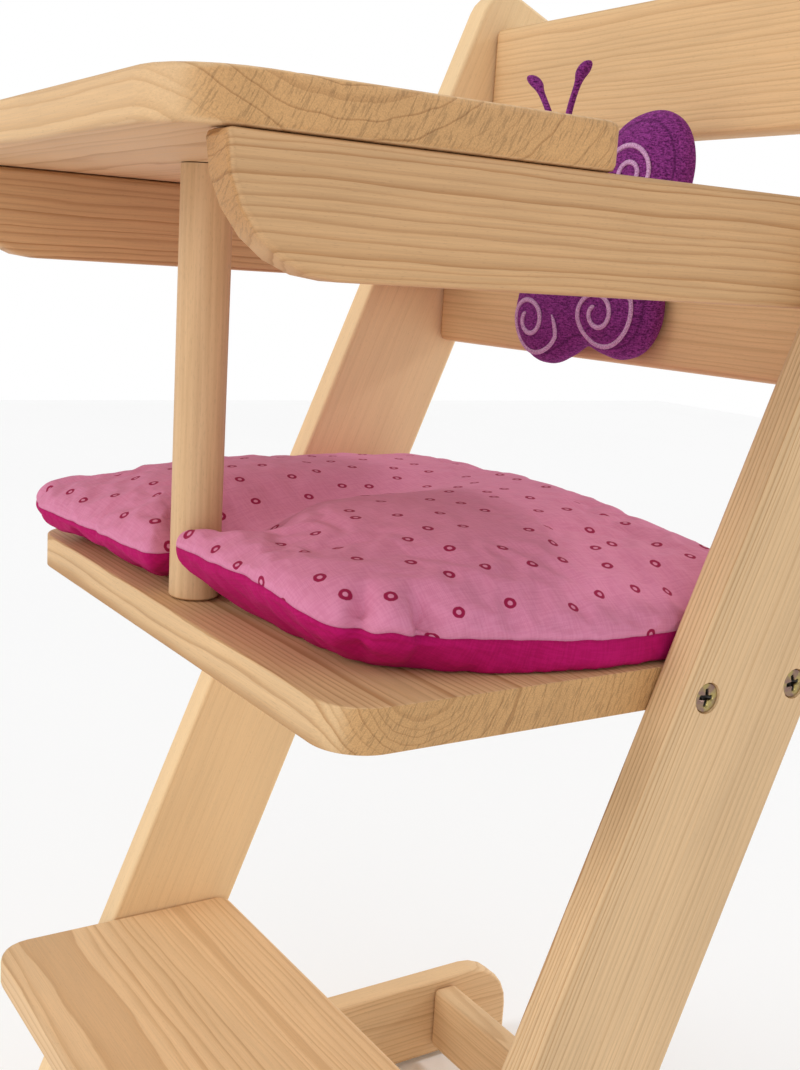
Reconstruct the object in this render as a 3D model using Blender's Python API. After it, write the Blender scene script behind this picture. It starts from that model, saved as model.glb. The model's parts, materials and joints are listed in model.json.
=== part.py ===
"""Doll high chair: two leaning pine legs on floor runners, with a seat, a footrest and two back rails
screwed between them, and a tray that turns up and over on two arms. Metres, +Z up, front towards -Y.
The origin is on the floor under the middle of the chair."""
import math

import bmesh
import bpy
import numpy as np
from mathutils import Matrix, Vector
from mathutils.geometry import delaunay_2d_cdt

# Shared sizes
DEPTH = 0.290              # tray front to runner end
SPAN = 0.226               # clear width between the legs
BOARD = 0.012              # thickness of every board
FIT = 0.0003               # gap left between pieces that touch
OVERRUN = 0.003            # how far a cutter runs past the face that it opens
ARRIS = 0.0018             # rounding of the boards' edges
SOFT_ARRIS = 0.0028        # rounding of the back rails' edges

# Legs, runners and what stands under them
LEG_WIDTH = 0.050
LEG_LEAN = math.radians(22.3)
LEG_TOP_RADIUS = 0.014
LEG_CREST = 0.020          # legs' top corner above the upper rail
RUNNER_HEIGHT = 0.040
RUNNER_RADIUS = 0.024
GLIDE_HEIGHT = 0.002
GLIDE_RADIUS = 0.005
GLIDE_INSET = 0.014
PIN_RADIUS = 0.003
PIN_LENGTH = 0.030
PIN_EDGE = 0.012
STRETCHER_HEIGHT = 0.030
STRETCHER_LIFT = 0.006
STRETCHER_INSET = 0.040

# Seat and footrest
SEAT_TOP = 0.280
SEAT_DEPTH = 0.165
SEAT_OVERHANG = 0.1014
SEAT_FRONT_RADIUS = 0.017
SEAT_REAR_RADIUS = 0.006
FOOTREST_TOP = 0.114
FOOTREST_DEPTH = 0.100
FOOTREST_OVERHANG = 0.050
FOOTREST_RADIUS = 0.014

# Back rails: setback from the seat's front edge, lift above its top, inset from the legs' front edge
RAIL_HEIGHT = 0.050
LOWER_RAIL_SETBACK = 0.1752
LOWER_RAIL_LIFT = 0.0743
UPPER_RAIL_LIFT = 0.155
UPPER_RAIL_INSET = 0.0188

# Tray, arms and crotch dowel
TRAY_OVERHANG = 0.045
TRAY_DEPTH = 0.120
TRAY_FRONT_RADIUS = 0.022
TRAY_REAR_RADIUS = 0.008
ARM_LIFT = 0.0988
ARM_HEIGHT = 0.030
ARM_NOSE_INSET = 0.012
ARM_GAP = 0.0016
PIVOT_GAP = 0.0022
DOWEL_RADIUS = 0.00775
DOWEL_CHAMFER = 0.0008
DOWEL_SETBACK = 0.0133
TRAY_SCREW_EDGE = 0.028

# Countersunk wood screws
SCREW_LENGTH = 0.030
SCREW_RADIUS = 0.002
SCREW_HEAD_RADIUS = 0.00405
SCREW_RIM = 0.0004
SCREW_SINK = 0.0003
SCREW_CLEARANCE = 0.00045
SCREW_EDGE = 0.009
RAIL_SCREW_EDGE = 0.012
STRETCHER_SCREW_EDGE = 0.008
RECESS_REACH = 0.0022
RECESS_WIDTH = 0.0011
RECESS_DEPTH = 0.0014

# Pivot hardware
BOLT_RADIUS = 0.0025
BOLT_HEAD_RADIUS = 0.0055
BOLT_HEAD_HEIGHT = 0.0028
BOLT_THREAD_REACH = 0.006
SOCKET_RADIUS = 0.0018
SOCKET_DEPTH = 0.0015
WASHER_RADIUS = 0.0075
NUT_RADIUS = 0.0046
NUT_HEX_HEIGHT = 0.004
NUT_HEIGHT = 0.0085

# Seat cushion in plan: its two front lobes stand either side of the dowel, the left one further forward
CUSHION_SIDE_GAP = 0.002
CUSHION_FRONT_INSET = 0.0013
CUSHION_REAR_OVERHANG = 0.001
CUSHION_TAPER = 0.083
CUSHION_SKEW = 0.0084
LEFT_LOBE_DRAW = 0.0026
RIGHT_LOBE_DRAW = 0.0167
LEFT_LOBE_RADIUS = 0.018
RIGHT_LOBE_RADIUS = 0.032
CUSHION_SIDE_RADIUS = 0.050
CUSHION_REAR_RADIUS = 0.030
CUSHION_LIP_RADIUS = 0.006
NOTCH_CLEARANCE = 0.0018

# Seat cushion in height: crown over the seam, low at the front, pinched at the slot, with a valley behind it
CUSHION_SEAM = 0.0121
CUSHION_SEAM_FALL = 0.003
CUSHION_SEAM_RUN = 0.083
CUSHION_CROWN = 0.022
CUSHION_EDGE = 0.0325
CUSHION_RISE = 0.072
VALLEY_SHIFT = -0.013
VALLEY_BEND = 0.024
VALLEY_WIDTH = 0.019
VALLEY_DEPTH = 0.012
VALLEY_HEAD = 0.014
VALLEY_START = 0.028
VALLEY_RUN = 0.092
PINCH_DEPTH = 0.0058
PINCH_REACH = 0.023
RIGHT_LOBE_LIFT = 0.0062
LIFT_START = 0.053
LIFT_FADE = 0.050
LIFT_DEPTH = 0.025
LEFT_LOBE_LIFT = 0.0027
LEFT_LIFT_REACH = 0.021
SIDE_UNDER = 0.0035
FRONT_UNDER = 0.030
FRONT_UNDER_START = 0.018
FRONT_UNDER_RUN = 0.040
LOBE_UNDER = 0.018
CUSHION_MESH = 0.010

# Plush butterfly
WING_SPAN = 0.092
WING_HEIGHT = 0.084
WING_FRONT = 0.009
WING_BACK = 0.0080
WING_EDGE = 0.017
WING_MESH = 0.0052
WING_DROP = 0.0002
WING_SHIFT = -0.0075
WING_YAW = math.radians(10.0)
WING_ROLL = math.radians(7.3)
BODY_RADIUS = 0.0052
BODY_LENGTH = 0.046
BODY_TOP_LIFT = 0.072
FEELER_RADIUS = 0.0013
FEELER_TIP_RADIUS = 0.0030
FEELER_LENGTH = 0.026
FEELER_SPREAD = 0.0045
PATCH_SIZE = 0.022
PATCH_THICKNESS = 0.0014
PATCH_RADIUS = 0.003

# Smoothness
ROUND_STEPS = 16
DOWEL_STEPS = 32
ARC_STEP = math.radians(15.0)

# Right half of the butterfly's outline, bottom notch to top notch, as shares of half span and height
WING_OUTLINE_SHARES = (
    (0.00, 0.066), (0.15, 0.030), (0.34, 0.000), (0.54, 0.030), (0.68, 0.130), (0.71, 0.260),
    (0.62, 0.385), (0.53, 0.450), (0.72, 0.515), (0.92, 0.625), (1.00, 0.770), (0.93, 0.910),
    (0.74, 0.985), (0.47, 0.975), (0.22, 0.890), (0.00, 0.790),
)

# How much less the cushion's crown is at the front, at both sides and, on top of that, at the right one
CUSHION_LOSS_SHARES = {"front": 0.38, "side": 0.24, "right": 0.26}

# Rows of points just inside a seam, as shares of the mesh spacing
SHOULDER_SHARES = (0.22, 0.62)

# Colours and finishes: colour, roughness, metallic
FINISHES = {
    "pine": ((0.730, 0.500, 0.290), 0.55, 0.0),
    "dowel_wood": ((0.700, 0.490, 0.300), 0.60, 0.0),
    "zinc_yellow": ((0.420, 0.330, 0.130), 0.35, 1.0),
    "zinc_bright": ((0.560, 0.570, 0.580), 0.30, 1.0),
    "felt": ((0.260, 0.230, 0.210), 0.95, 0.0),
    "cushion_cloth": ((0.600, 0.180, 0.300), 0.85, 0.0),
    "plush": ((0.160, 0.015, 0.130), 0.95, 0.0),
    "hook_and_loop": ((0.130, 0.020, 0.110), 0.90, 0.0),
}

# Places worked out from the sizes
Y_FRONT = -DEPTH / 2
Y_SEAT = Y_FRONT + TRAY_OVERHANG
LEG_DEPTH = LEG_WIDTH / math.cos(LEG_LEAN)
LEG_HEIGHT = SEAT_TOP + UPPER_RAIL_LIFT + RAIL_HEIGHT + LEG_CREST
LEG_FOOT = GLIDE_HEIGHT + FIT
SIDE_X = (SPAN + BOARD) / 2
END_X = SPAN / 2 - FIT
ARM_X = SPAN / 2 - ARM_GAP - BOARD / 2
ARM_BOTTOM = SEAT_TOP + ARM_LIFT
ARM_TOP = ARM_BOTTOM + ARM_HEIGHT
PIVOT_Y = Y_SEAT + LOWER_RAIL_SETBACK - PIVOT_GAP - ARM_HEIGHT / 2
PIVOT_Z = ARM_BOTTOM + ARM_HEIGHT / 2
TRAY_BOTTOM = ARM_TOP + FIT
TRAY_TOP = TRAY_BOTTOM + BOARD
DOWEL_Y = Y_SEAT + DOWEL_SETBACK
SIDES = (("left", -1), ("right", 1))


def leg_front(z):
    """Y of the legs' front edge at height z."""
    return Y_SEAT + SEAT_OVERHANG + (z - SEAT_TOP) * math.tan(LEG_LEAN)


def leg_rear(z):
    """Y of the legs' rear edge at height z."""
    return leg_front(z) + LEG_DEPTH


# Scene and materials
def clear_scene():
    """Remove every object, so that only the chair is left."""
    for thing in list(bpy.data.objects):
        bpy.data.objects.remove(thing, do_unlink=True)


def finish(name, kind):
    """Material of one sub-part, in one of the shared finishes."""
    colour, roughness, metallic = FINISHES[kind]
    material = bpy.data.materials.new(name)
    material.use_nodes = True
    shader = material.node_tree.nodes["Principled BSDF"]
    shader.inputs["Base Color"].default_value = (*colour, 1.0)
    shader.inputs["Roughness"].default_value = roughness
    shader.inputs["Metallic"].default_value = metallic
    material.diffuse_color = (*colour, 1.0)
    return material


def add(name, mesh, place=Matrix(), kind=None, parent=None):
    """Put a mesh in the scene as one named sub-part at a world place."""
    thing = bpy.data.objects.new(name, mesh)
    bpy.context.collection.objects.link(thing)
    if parent:
        thing.parent = parent
        thing.matrix_parent_inverse = parent.matrix_basis.inverted()
    thing.matrix_basis = place
    if kind:
        thing.data.materials.append(finish(name, kind))
    return thing


def mesh_from(bm, name, smooth_below=math.radians(35.0)):
    """Turn a bmesh into a mesh with outward faces, smooth where its faces meet gently."""
    bmesh.ops.recalc_face_normals(bm, faces=bm.faces)
    mesh = bpy.data.meshes.new(name)
    bm.to_mesh(mesh)
    bm.free()
    mesh.shade_smooth()
    mesh.set_sharp_from_angle(angle=smooth_below)
    return mesh


# Outlines
def rounded(corners):
    """Outline through (u, v, radius) corners, each one rounded by its radius."""
    points = []
    for i, (u, v, radius) in enumerate(corners):
        here = Vector((u, v))
        back = (Vector(corners[i - 1][:2]) - here).normalized()
        ahead = (Vector(corners[(i + 1) % len(corners)][:2]) - here).normalized()
        if radius <= 0:
            points.append(here)
            continue
        half = back.angle(ahead) / 2
        centre = here + (back + ahead).normalized() * (radius / math.sin(half))
        start = here + back * (radius / math.tan(half)) - centre
        turn = math.pi - 2 * half
        sign = 1 if back.x * ahead.y - back.y * ahead.x < 0 else -1
        steps = max(2, round(turn / ARC_STEP))
        first = math.atan2(start.y, start.x)
        for k in range(steps + 1):
            angle = first + sign * turn * k / steps
            points.append(centre + radius * Vector((math.cos(angle), math.sin(angle))))
    return points


def rectangle(u0, v0, u1, v1, radii=(0, 0, 0, 0)):
    """Rectangle with its corners rounded, counter-clockwise from the low corner."""
    corners = ((u0, v0), (u1, v0), (u1, v1), (u0, v1))
    return rounded([(u, v, radius) for (u, v), radius in zip(corners, radii)])


def smooth_loop(points, steps):
    """Closed smooth curve through the points, with the same number of steps between each two."""
    loop = []
    count = len(points)
    for i in range(count):
        p0, p1, p2, p3 = (Vector(points[(i + k) % count]) for k in (-1, 0, 1, 2))
        for k in range(steps):
            t = k / steps
            loop.append(0.5 * (2 * p1 + (p2 - p0) * t + (2 * p0 - 5 * p1 + 4 * p2 - p3) * t ** 2
                               + (3 * p1 - 3 * p2 + p3 - p0) * t ** 3))
    return loop


def evenly_spaced(loop, spacing):
    """The same closed outline with its points about one spacing apart."""
    closed = np.array([tuple(p) for p in loop] + [tuple(loop[0])])
    reach = np.concatenate(([0.0], np.cumsum(np.linalg.norm(np.diff(closed, axis=0), axis=1))))
    stops = np.linspace(0.0, reach[-1], round(reach[-1] / spacing) + 1)[:-1]
    return np.stack([np.interp(stops, reach, closed[:, k]) for k in (0, 1)], axis=1)


# Solids
FLAT = Matrix()
SIDEWAYS = Matrix(((0, 0, 1, 0), (1, 0, 0, 0), (0, 1, 0, 0), (0, 0, 0, 1)))
UPRIGHT = Matrix(((1, 0, 0, 0), (0, 0, -1, 0), (0, 1, 0, 0), (0, 0, 0, 1)))


def prism(outline, thickness):
    """Straight slab on an outline, centred on its own plane."""
    bm = bmesh.new()
    face = bm.faces.new([bm.verts.new((p[0], p[1], -thickness / 2)) for p in outline])
    raised = bmesh.ops.extrude_face_region(bm, geom=[face])["geom"]
    verts = [v for v in raised if isinstance(v, bmesh.types.BMVert)]
    bmesh.ops.translate(bm, vec=(0, 0, thickness), verts=verts)
    return bm


def board(name, outline, centre, turn, kind="pine", arris=ARRIS, thickness=BOARD):
    """Board cut to an outline that is given about its centre, with rounded arrises."""
    thing = add(name, mesh_from(prism(outline, thickness), name), Matrix.Translation(centre) @ turn, kind)
    rounding = thing.modifiers.new("arris", "BEVEL")
    rounding.width = arris
    rounding.segments = 2
    rounding.limit_method = "ANGLE"
    rounding.angle_limit = math.radians(40.0)
    return thing


def turned(profile, steps=ROUND_STEPS, place=Matrix(), bm=None):
    """Round body of a (radius, height) profile about its own Z axis."""
    bm = bm or bmesh.new()
    rings = []
    for radius, height in profile:
        angles = [2 * math.pi * k / steps for k in range(steps)] if radius else [0.0]
        rings.append([bm.verts.new(place @ Vector((radius * math.cos(a), radius * math.sin(a), height)))
                      for a in angles])
    for low, high in zip(rings, rings[1:]):
        for k in range(steps):
            corners = [low[k % len(low)], low[(k + 1) % len(low)],
                       high[(k + 1) % len(high)], high[k % len(high)]]
            bm.faces.new(list(dict.fromkeys(corners)))
    return bm


def aim(point, direction):
    """Place whose Z axis points along a direction."""
    return Matrix.Translation(point) @ Vector(direction).to_track_quat("Z", "Y").to_matrix().to_4x4()


def cut(thing, shapes):
    """Cut closed shapes, given as one bmesh, out of a sub-part."""
    name = thing.name + "_cutter"
    tool = add(name, mesh_from(shapes, name))
    tool.hide_render = True
    tool.display_type = "WIRE"
    opening = thing.modifiers.new("cut", "BOOLEAN")
    opening.operation = "DIFFERENCE"
    opening.solver = "EXACT"
    opening.object = tool


def baked(thing):
    """Mesh of a sub-part with its cuts made, which its copies can share."""
    graph = bpy.context.evaluated_depsgraph_get()
    mesh = bpy.data.meshes.new_from_object(thing.evaluated_get(graph))
    for modifier in thing.modifiers:
        bpy.data.objects.remove(modifier.object, do_unlink=True)
    bpy.data.objects.remove(thing, do_unlink=True)
    return mesh


# Screws
def screw_mesh():
    """Countersunk screw with a cross recess, its head's top at the origin and its shank down -Z."""
    head = SCREW_HEAD_RADIUS - SCREW_RADIUS + SCREW_RIM
    profile = ((0, -SCREW_LENGTH), (SCREW_RADIUS, -SCREW_LENGTH + 2 * SCREW_RADIUS),
               (SCREW_RADIUS, -head), (SCREW_HEAD_RADIUS, -SCREW_RIM), (SCREW_HEAD_RADIUS, 0), (0, 0))
    pattern = add("screw_pattern", mesh_from(turned(profile), "screw_pattern"))
    reach, half = RECESS_REACH, RECESS_WIDTH / 2
    cross = rounded([(u, v, 0) for u, v in (
        (half, half), (half, reach), (-half, reach), (-half, half), (-reach, half), (-reach, -half),
        (-half, -half), (-half, -reach), (half, -reach), (half, -half), (reach, -half), (reach, half))])
    recess = prism(cross, 2 * RECESS_DEPTH)
    cut(pattern, recess)
    return baked(pattern)


def screw_hole(place, shapes):
    """Countersunk clearance hole for a screw at a place, through the first board that it meets."""
    radius = SCREW_RADIUS + SCREW_CLEARANCE
    rim = SCREW_HEAD_RADIUS + SCREW_CLEARANCE
    head = SCREW_HEAD_RADIUS - SCREW_RADIUS + SCREW_RIM
    through = -(BOARD + OVERRUN)
    profile = ((0, through), (radius, through), (radius, -head), (rim, -SCREW_RIM), (rim, OVERRUN),
               (0, OVERRUN))
    return turned(profile, place=place, bm=shapes)


def pilot_hole(place, shapes):
    """Blind hole for a screw's shank in the second board that it meets."""
    radius = SCREW_RADIUS + SCREW_CLEARANCE
    profile = ((0, -SCREW_LENGTH - FIT), (radius, -SCREW_LENGTH - FIT), (radius, -BOARD), (0, -BOARD))
    return turned(profile, place=place, bm=shapes)


def side_place(sign, y, z):
    """Place of a screw head in a side's outer face, its top sunk a little below the face."""
    return aim((sign * (SPAN / 2 + BOARD - SCREW_SINK), y, z), (sign, 0, 0))


def leg_pair(z):
    """Two screw places across the legs' width at one height."""
    margin = SCREW_EDGE / math.cos(LEG_LEAN)
    return ((leg_front(z) + margin, z), (leg_rear(z) - margin, z))


def rail_pair(y, z, edge):
    """Two screw places one above the other in the end of an upright board."""
    return ((y, z + edge), (y, z + RAIL_HEIGHT - edge))


SEAT_SCREWS = leg_pair(SEAT_TOP - BOARD / 2)
FOOTREST_SCREWS = leg_pair(FOOTREST_TOP - BOARD / 2)
LOWER_RAIL_Y = Y_SEAT + LOWER_RAIL_SETBACK + BOARD / 2
LOWER_RAIL_Z = SEAT_TOP + LOWER_RAIL_LIFT
UPPER_RAIL_Z = SEAT_TOP + UPPER_RAIL_LIFT
UPPER_RAIL_Y = leg_front(UPPER_RAIL_Z + RAIL_HEIGHT / 2) + UPPER_RAIL_INSET + BOARD / 2
LOWER_RAIL_SCREWS = rail_pair(LOWER_RAIL_Y, LOWER_RAIL_Z, RAIL_SCREW_EDGE)
UPPER_RAIL_SCREWS = rail_pair(UPPER_RAIL_Y, UPPER_RAIL_Z, RAIL_SCREW_EDGE)
STRETCHER_Y = -Y_FRONT - STRETCHER_INSET
STRETCHER_Z = LEG_FOOT + STRETCHER_LIFT
STRETCHER_SCREWS = ((STRETCHER_Y, STRETCHER_Z + STRETCHER_SCREW_EDGE),
                    (STRETCHER_Y, STRETCHER_Z + STRETCHER_HEIGHT - STRETCHER_SCREW_EDGE))
LEG_SCREWS = SEAT_SCREWS + FOOTREST_SCREWS + LOWER_RAIL_SCREWS + UPPER_RAIL_SCREWS
PIN_HEIGHTS = (LEG_FOOT + PIN_EDGE, LEG_FOOT + RUNNER_HEIGHT - PIN_EDGE)


def side_screws(prefix, spots, mesh):
    """The screws that hold one cross board, two in each side."""
    for side, sign in SIDES:
        for number, (y, z) in enumerate(spots, 1):
            name = f"{prefix}_screw_{side}_{number}"
            add(name, mesh, side_place(sign, y, z), None)


# Sides
def pin_hole(sign, z, shapes):
    """Hole for one joint pin, level, across the joint of leg and runner."""
    length = PIN_LENGTH + 2 * FIT
    place = aim((sign * SIDE_X, leg_rear(z) - length / 2, z), (0, 1, 0))
    radius = PIN_RADIUS + FIT
    return turned(((0, 0), (radius, 0), (radius, length), (0, length)), place=place, bm=shapes)


def legs():
    """Leaning legs, square at the top and level at the foot, bored for screws, pins and pivot."""
    foot = LEG_FOOT
    top = Vector((leg_front(LEG_HEIGHT), LEG_HEIGHT))
    across = LEG_WIDTH * Vector((math.cos(LEG_LEAN), -math.sin(LEG_LEAN)))
    centre = Vector((leg_front(SEAT_TOP) + LEG_DEPTH / 2, SEAT_TOP))
    corners = ((leg_front(foot), foot, 0), (leg_rear(foot), foot, 0),
               (*(top + across), LEG_TOP_RADIUS), (*top, LEG_TOP_RADIUS))
    outline = rounded([(y - centre.x, z - centre.y, radius) for y, z, radius in corners])
    for side, sign in SIDES:
        leg = board(f"{side}_leg", outline, (sign * SIDE_X, *centre), SIDEWAYS)
        holes = bmesh.new()
        for y, z in LEG_SCREWS:
            screw_hole(side_place(sign, y, z), holes)
        for z in PIN_HEIGHTS:
            pin_hole(sign, z, holes)
        bore = BOLT_RADIUS + FIT
        half = BOARD / 2 + OVERRUN
        turned(((0, -half), (bore, -half), (bore, half), (0, half)),
               place=aim((sign * SIDE_X, PIVOT_Y, PIVOT_Z), (1, 0, 0)), bm=holes)
        cut(leg, holes)


def runners(mesh):
    """Floor runners behind the legs, with the stretcher between them and the pins in their joints."""
    low, high = LEG_FOOT, LEG_FOOT + RUNNER_HEIGHT
    gap = FIT / math.cos(LEG_LEAN)
    rear = -Y_FRONT
    middle = Vector(((leg_rear(low) + rear) / 2, (low + high) / 2))
    corners = ((leg_rear(low) + gap, low, 0), (rear, low, 0), (rear, high, RUNNER_RADIUS),
               (leg_rear(high) + gap, high, 0))
    outline = rounded([(y - middle.x, z - middle.y, radius) for y, z, radius in corners])
    for side, sign in SIDES:
        runner = board(f"{side}_runner", outline, (sign * SIDE_X, *middle), SIDEWAYS)
        holes = bmesh.new()
        for y, z in STRETCHER_SCREWS:
            screw_hole(side_place(sign, y, z), holes)
        for number, z in enumerate(PIN_HEIGHTS, 1):
            pin_hole(sign, z, holes)
            pin = turned(((0, 0), (PIN_RADIUS, 0), (PIN_RADIUS, PIN_LENGTH), (0, PIN_LENGTH)))
            name = f"joint_pin_{side}_{number}"
            start = (sign * SIDE_X, leg_rear(z) - PIN_LENGTH / 2, z)
            add(name, mesh_from(pin, name), aim(start, (0, 1, 0)), "dowel_wood")
        cut(runner, holes)
    half_height = STRETCHER_HEIGHT / 2
    stretcher = board("rear_stretcher", rectangle(-END_X, -half_height, END_X, half_height),
                      (0, STRETCHER_Y, STRETCHER_Z + half_height), UPRIGHT)
    bore_ends(stretcher, STRETCHER_SCREWS)
    side_screws("stretcher", STRETCHER_SCREWS, mesh)


def bore_ends(thing, spots):
    """Pilot holes in both ends of a cross board."""
    holes = bmesh.new()
    for _, sign in SIDES:
        for y, z in spots:
            pilot_hole(side_place(sign, y, z), holes)
    cut(thing, holes)


def glides():
    """Felt glides under the front and rear of each side."""
    profile = ((0, 0), (GLIDE_RADIUS, 0), (GLIDE_RADIUS, GLIDE_HEIGHT), (0, GLIDE_HEIGHT))
    spots = (("front", leg_front(LEG_FOOT) + GLIDE_INSET), ("rear", -Y_FRONT - GLIDE_INSET))
    for side, sign in SIDES:
        for end, y in spots:
            name = f"glide_{end}_{side}"
            place = Matrix.Translation((sign * SIDE_X, y, 0))
            add(name, mesh_from(turned(profile), name), place, "felt")


# Boards between the sides
def seats(mesh):
    """Seat and footrest boards, rounded at their corners."""
    front, rear = SEAT_FRONT_RADIUS, SEAT_REAR_RADIUS
    seat = board("seat_board", rectangle(-END_X, -SEAT_DEPTH / 2, END_X, SEAT_DEPTH / 2,
                                         (front, front, rear, rear)),
                 (0, Y_SEAT + SEAT_DEPTH / 2, SEAT_TOP - BOARD / 2), FLAT)
    bore_ends(seat, SEAT_SCREWS)
    side_screws("seat", SEAT_SCREWS, mesh)
    front, rear = FOOTREST_RADIUS, SEAT_REAR_RADIUS
    middle = leg_front(FOOTREST_TOP) - FOOTREST_OVERHANG + FOOTREST_DEPTH / 2
    step = board("footrest_board", rectangle(-END_X, -FOOTREST_DEPTH / 2, END_X, FOOTREST_DEPTH / 2,
                                             (front, front, rear, rear)),
                 (0, middle, FOOTREST_TOP - BOARD / 2), FLAT)
    bore_ends(step, FOOTREST_SCREWS)
    side_screws("footrest", FOOTREST_SCREWS, mesh)


def back_rails(mesh):
    """Two upright rails that make the back."""
    half = RAIL_HEIGHT / 2
    rails = (("lower_back", LOWER_RAIL_Y, LOWER_RAIL_Z, LOWER_RAIL_SCREWS),
             ("upper_back", UPPER_RAIL_Y, UPPER_RAIL_Z, UPPER_RAIL_SCREWS))
    for prefix, y, z, spots in rails:
        rail = board(f"{prefix}_rail", rectangle(-END_X, -half, END_X, half), (0, y, z + half), UPRIGHT,
                     arris=SOFT_ARRIS)
        bore_ends(rail, spots)
        side_screws(prefix, spots, mesh)


# Tray
def tray(mesh):
    """Tray board on two arms, with the crotch dowel under it, hung on the pivot line."""
    pivot = bpy.data.objects.new("tray_pivot", None)
    bpy.context.collection.objects.link(pivot)
    pivot.matrix_basis = Matrix.Translation((0, PIVOT_Y, PIVOT_Z))
    half_width = ARM_X + BOARD / 2
    front, rear = TRAY_FRONT_RADIUS, TRAY_REAR_RADIUS
    top = board("tray_board", rectangle(-half_width, -TRAY_DEPTH / 2, half_width, TRAY_DEPTH / 2,
                                        (front, front, rear, rear)),
                (0, Y_FRONT + TRAY_DEPTH / 2, TRAY_BOTTOM + BOARD / 2), FLAT)
    spots = []
    for side, sign in SIDES:
        for number, y in enumerate((Y_FRONT + TRAY_SCREW_EDGE, Y_FRONT + TRAY_DEPTH - TRAY_SCREW_EDGE), 1):
            spots.append((f"tray_screw_{side}_{number}", sign * ARM_X, y))
    spots.append(("dowel_screw", 0, DOWEL_Y))
    holes = bmesh.new()
    for name, x, y in spots:
        place = aim((x, y, TRAY_TOP - SCREW_SINK), (0, 0, 1))
        screw_hole(place, holes)
        add(name, mesh, place, None, pivot)
    cut(top, holes)
    arms = [tray_arm(side, sign, spots) for side, sign in SIDES]
    dowel = crotch_dowel()
    for thing in (top, *arms, dowel):
        thing.parent = pivot
        thing.matrix_parent_inverse = pivot.matrix_basis.inverted()


def tray_arm(side, sign, spots):
    """Arm with a half-round rear end about the pivot and a quarter-round nose."""
    half = ARM_HEIGHT / 2
    nose = Y_FRONT + ARM_NOSE_INSET - PIVOT_Y
    outline = rounded(((nose, -half, ARM_HEIGHT - ARRIS), (half, -half, half - FIT), (half, half, half - FIT),
                       (nose, half, 0)))
    arm = board(f"{side}_tray_arm", outline, (sign * ARM_X, PIVOT_Y, PIVOT_Z), SIDEWAYS)
    holes = bmesh.new()
    for name, x, y in spots:
        if x * sign > 0:
            pilot_hole(aim((x, y, TRAY_TOP - SCREW_SINK), (0, 0, 1)), holes)
    reach = BOARD / 2 + OVERRUN
    bore = BOLT_RADIUS + FIT
    turned(((0, -reach), (bore, -reach), (bore, reach), (0, reach)),
           place=aim((sign * ARM_X, PIVOT_Y, PIVOT_Z), (1, 0, 0)), bm=holes)
    cut(arm, holes)
    return arm


def crotch_dowel():
    """Round dowel from the tray down to the seat, chamfered at its foot."""
    low, high = SEAT_TOP + FIT, TRAY_BOTTOM - FIT
    length = high - low
    profile = ((0, 0), (DOWEL_RADIUS - DOWEL_CHAMFER, 0), (DOWEL_RADIUS, DOWEL_CHAMFER),
               (DOWEL_RADIUS, length), (0, length))
    place = Matrix.Translation((0, DOWEL_Y, low))
    dowel = add("crotch_dowel", mesh_from(turned(profile, DOWEL_STEPS), "crotch_dowel"), place, "dowel_wood")
    cut(dowel, pilot_hole(aim((0, DOWEL_Y, TRAY_TOP - SCREW_SINK), (0, 0, 1)), bmesh.new()))
    return dowel


def pivots():
    """Bolt, washer and cap nut that carry each arm on its leg."""
    outer = SPAN / 2 + BOARD
    inner = ARM_X - BOARD / 2
    for side, sign in SIDES:
        shank = outer - inner + BOLT_THREAD_REACH
        head = ((0, -shank), (BOLT_RADIUS, -shank), (BOLT_RADIUS, FIT), (BOLT_HEAD_RADIUS, FIT),
                (BOLT_HEAD_RADIUS, FIT + BOLT_HEAD_HEIGHT / 2),
                (BOLT_HEAD_RADIUS * math.cos(math.radians(40)), FIT + BOLT_HEAD_HEIGHT),
                (0, FIT + BOLT_HEAD_HEIGHT))
        name = f"pivot_bolt_{side}"
        place = aim((sign * outer, PIVOT_Y, PIVOT_Z), (sign, 0, 0))
        bolt = add(name, mesh_from(turned(head), name), place, "zinc_bright")
        low = FIT + BOLT_HEAD_HEIGHT - SOCKET_DEPTH
        high = FIT + BOLT_HEAD_HEIGHT + OVERRUN
        cut(bolt, turned(((0, low), (SOCKET_RADIUS, low), (SOCKET_RADIUS, high), (0, high)), 6, place))
        washer(side, sign)
        cap_nut(side, sign, inner)


def washer(side, sign):
    """Washer in the gap between leg and arm."""
    thickness = ARM_GAP - 2 * FIT
    bore = BOLT_RADIUS + FIT
    profile = ((bore, 0), (WASHER_RADIUS, 0), (WASHER_RADIUS, thickness), (bore, thickness), (bore, 0))
    name = f"pivot_washer_{side}"
    place = aim((sign * (SPAN / 2 - FIT), PIVOT_Y, PIVOT_Z), (-sign, 0, 0))
    bm = turned(profile)
    bmesh.ops.remove_doubles(bm, verts=bm.verts, dist=FIT / 10)
    add(name, mesh_from(bm, name), place, "zinc_bright")


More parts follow.
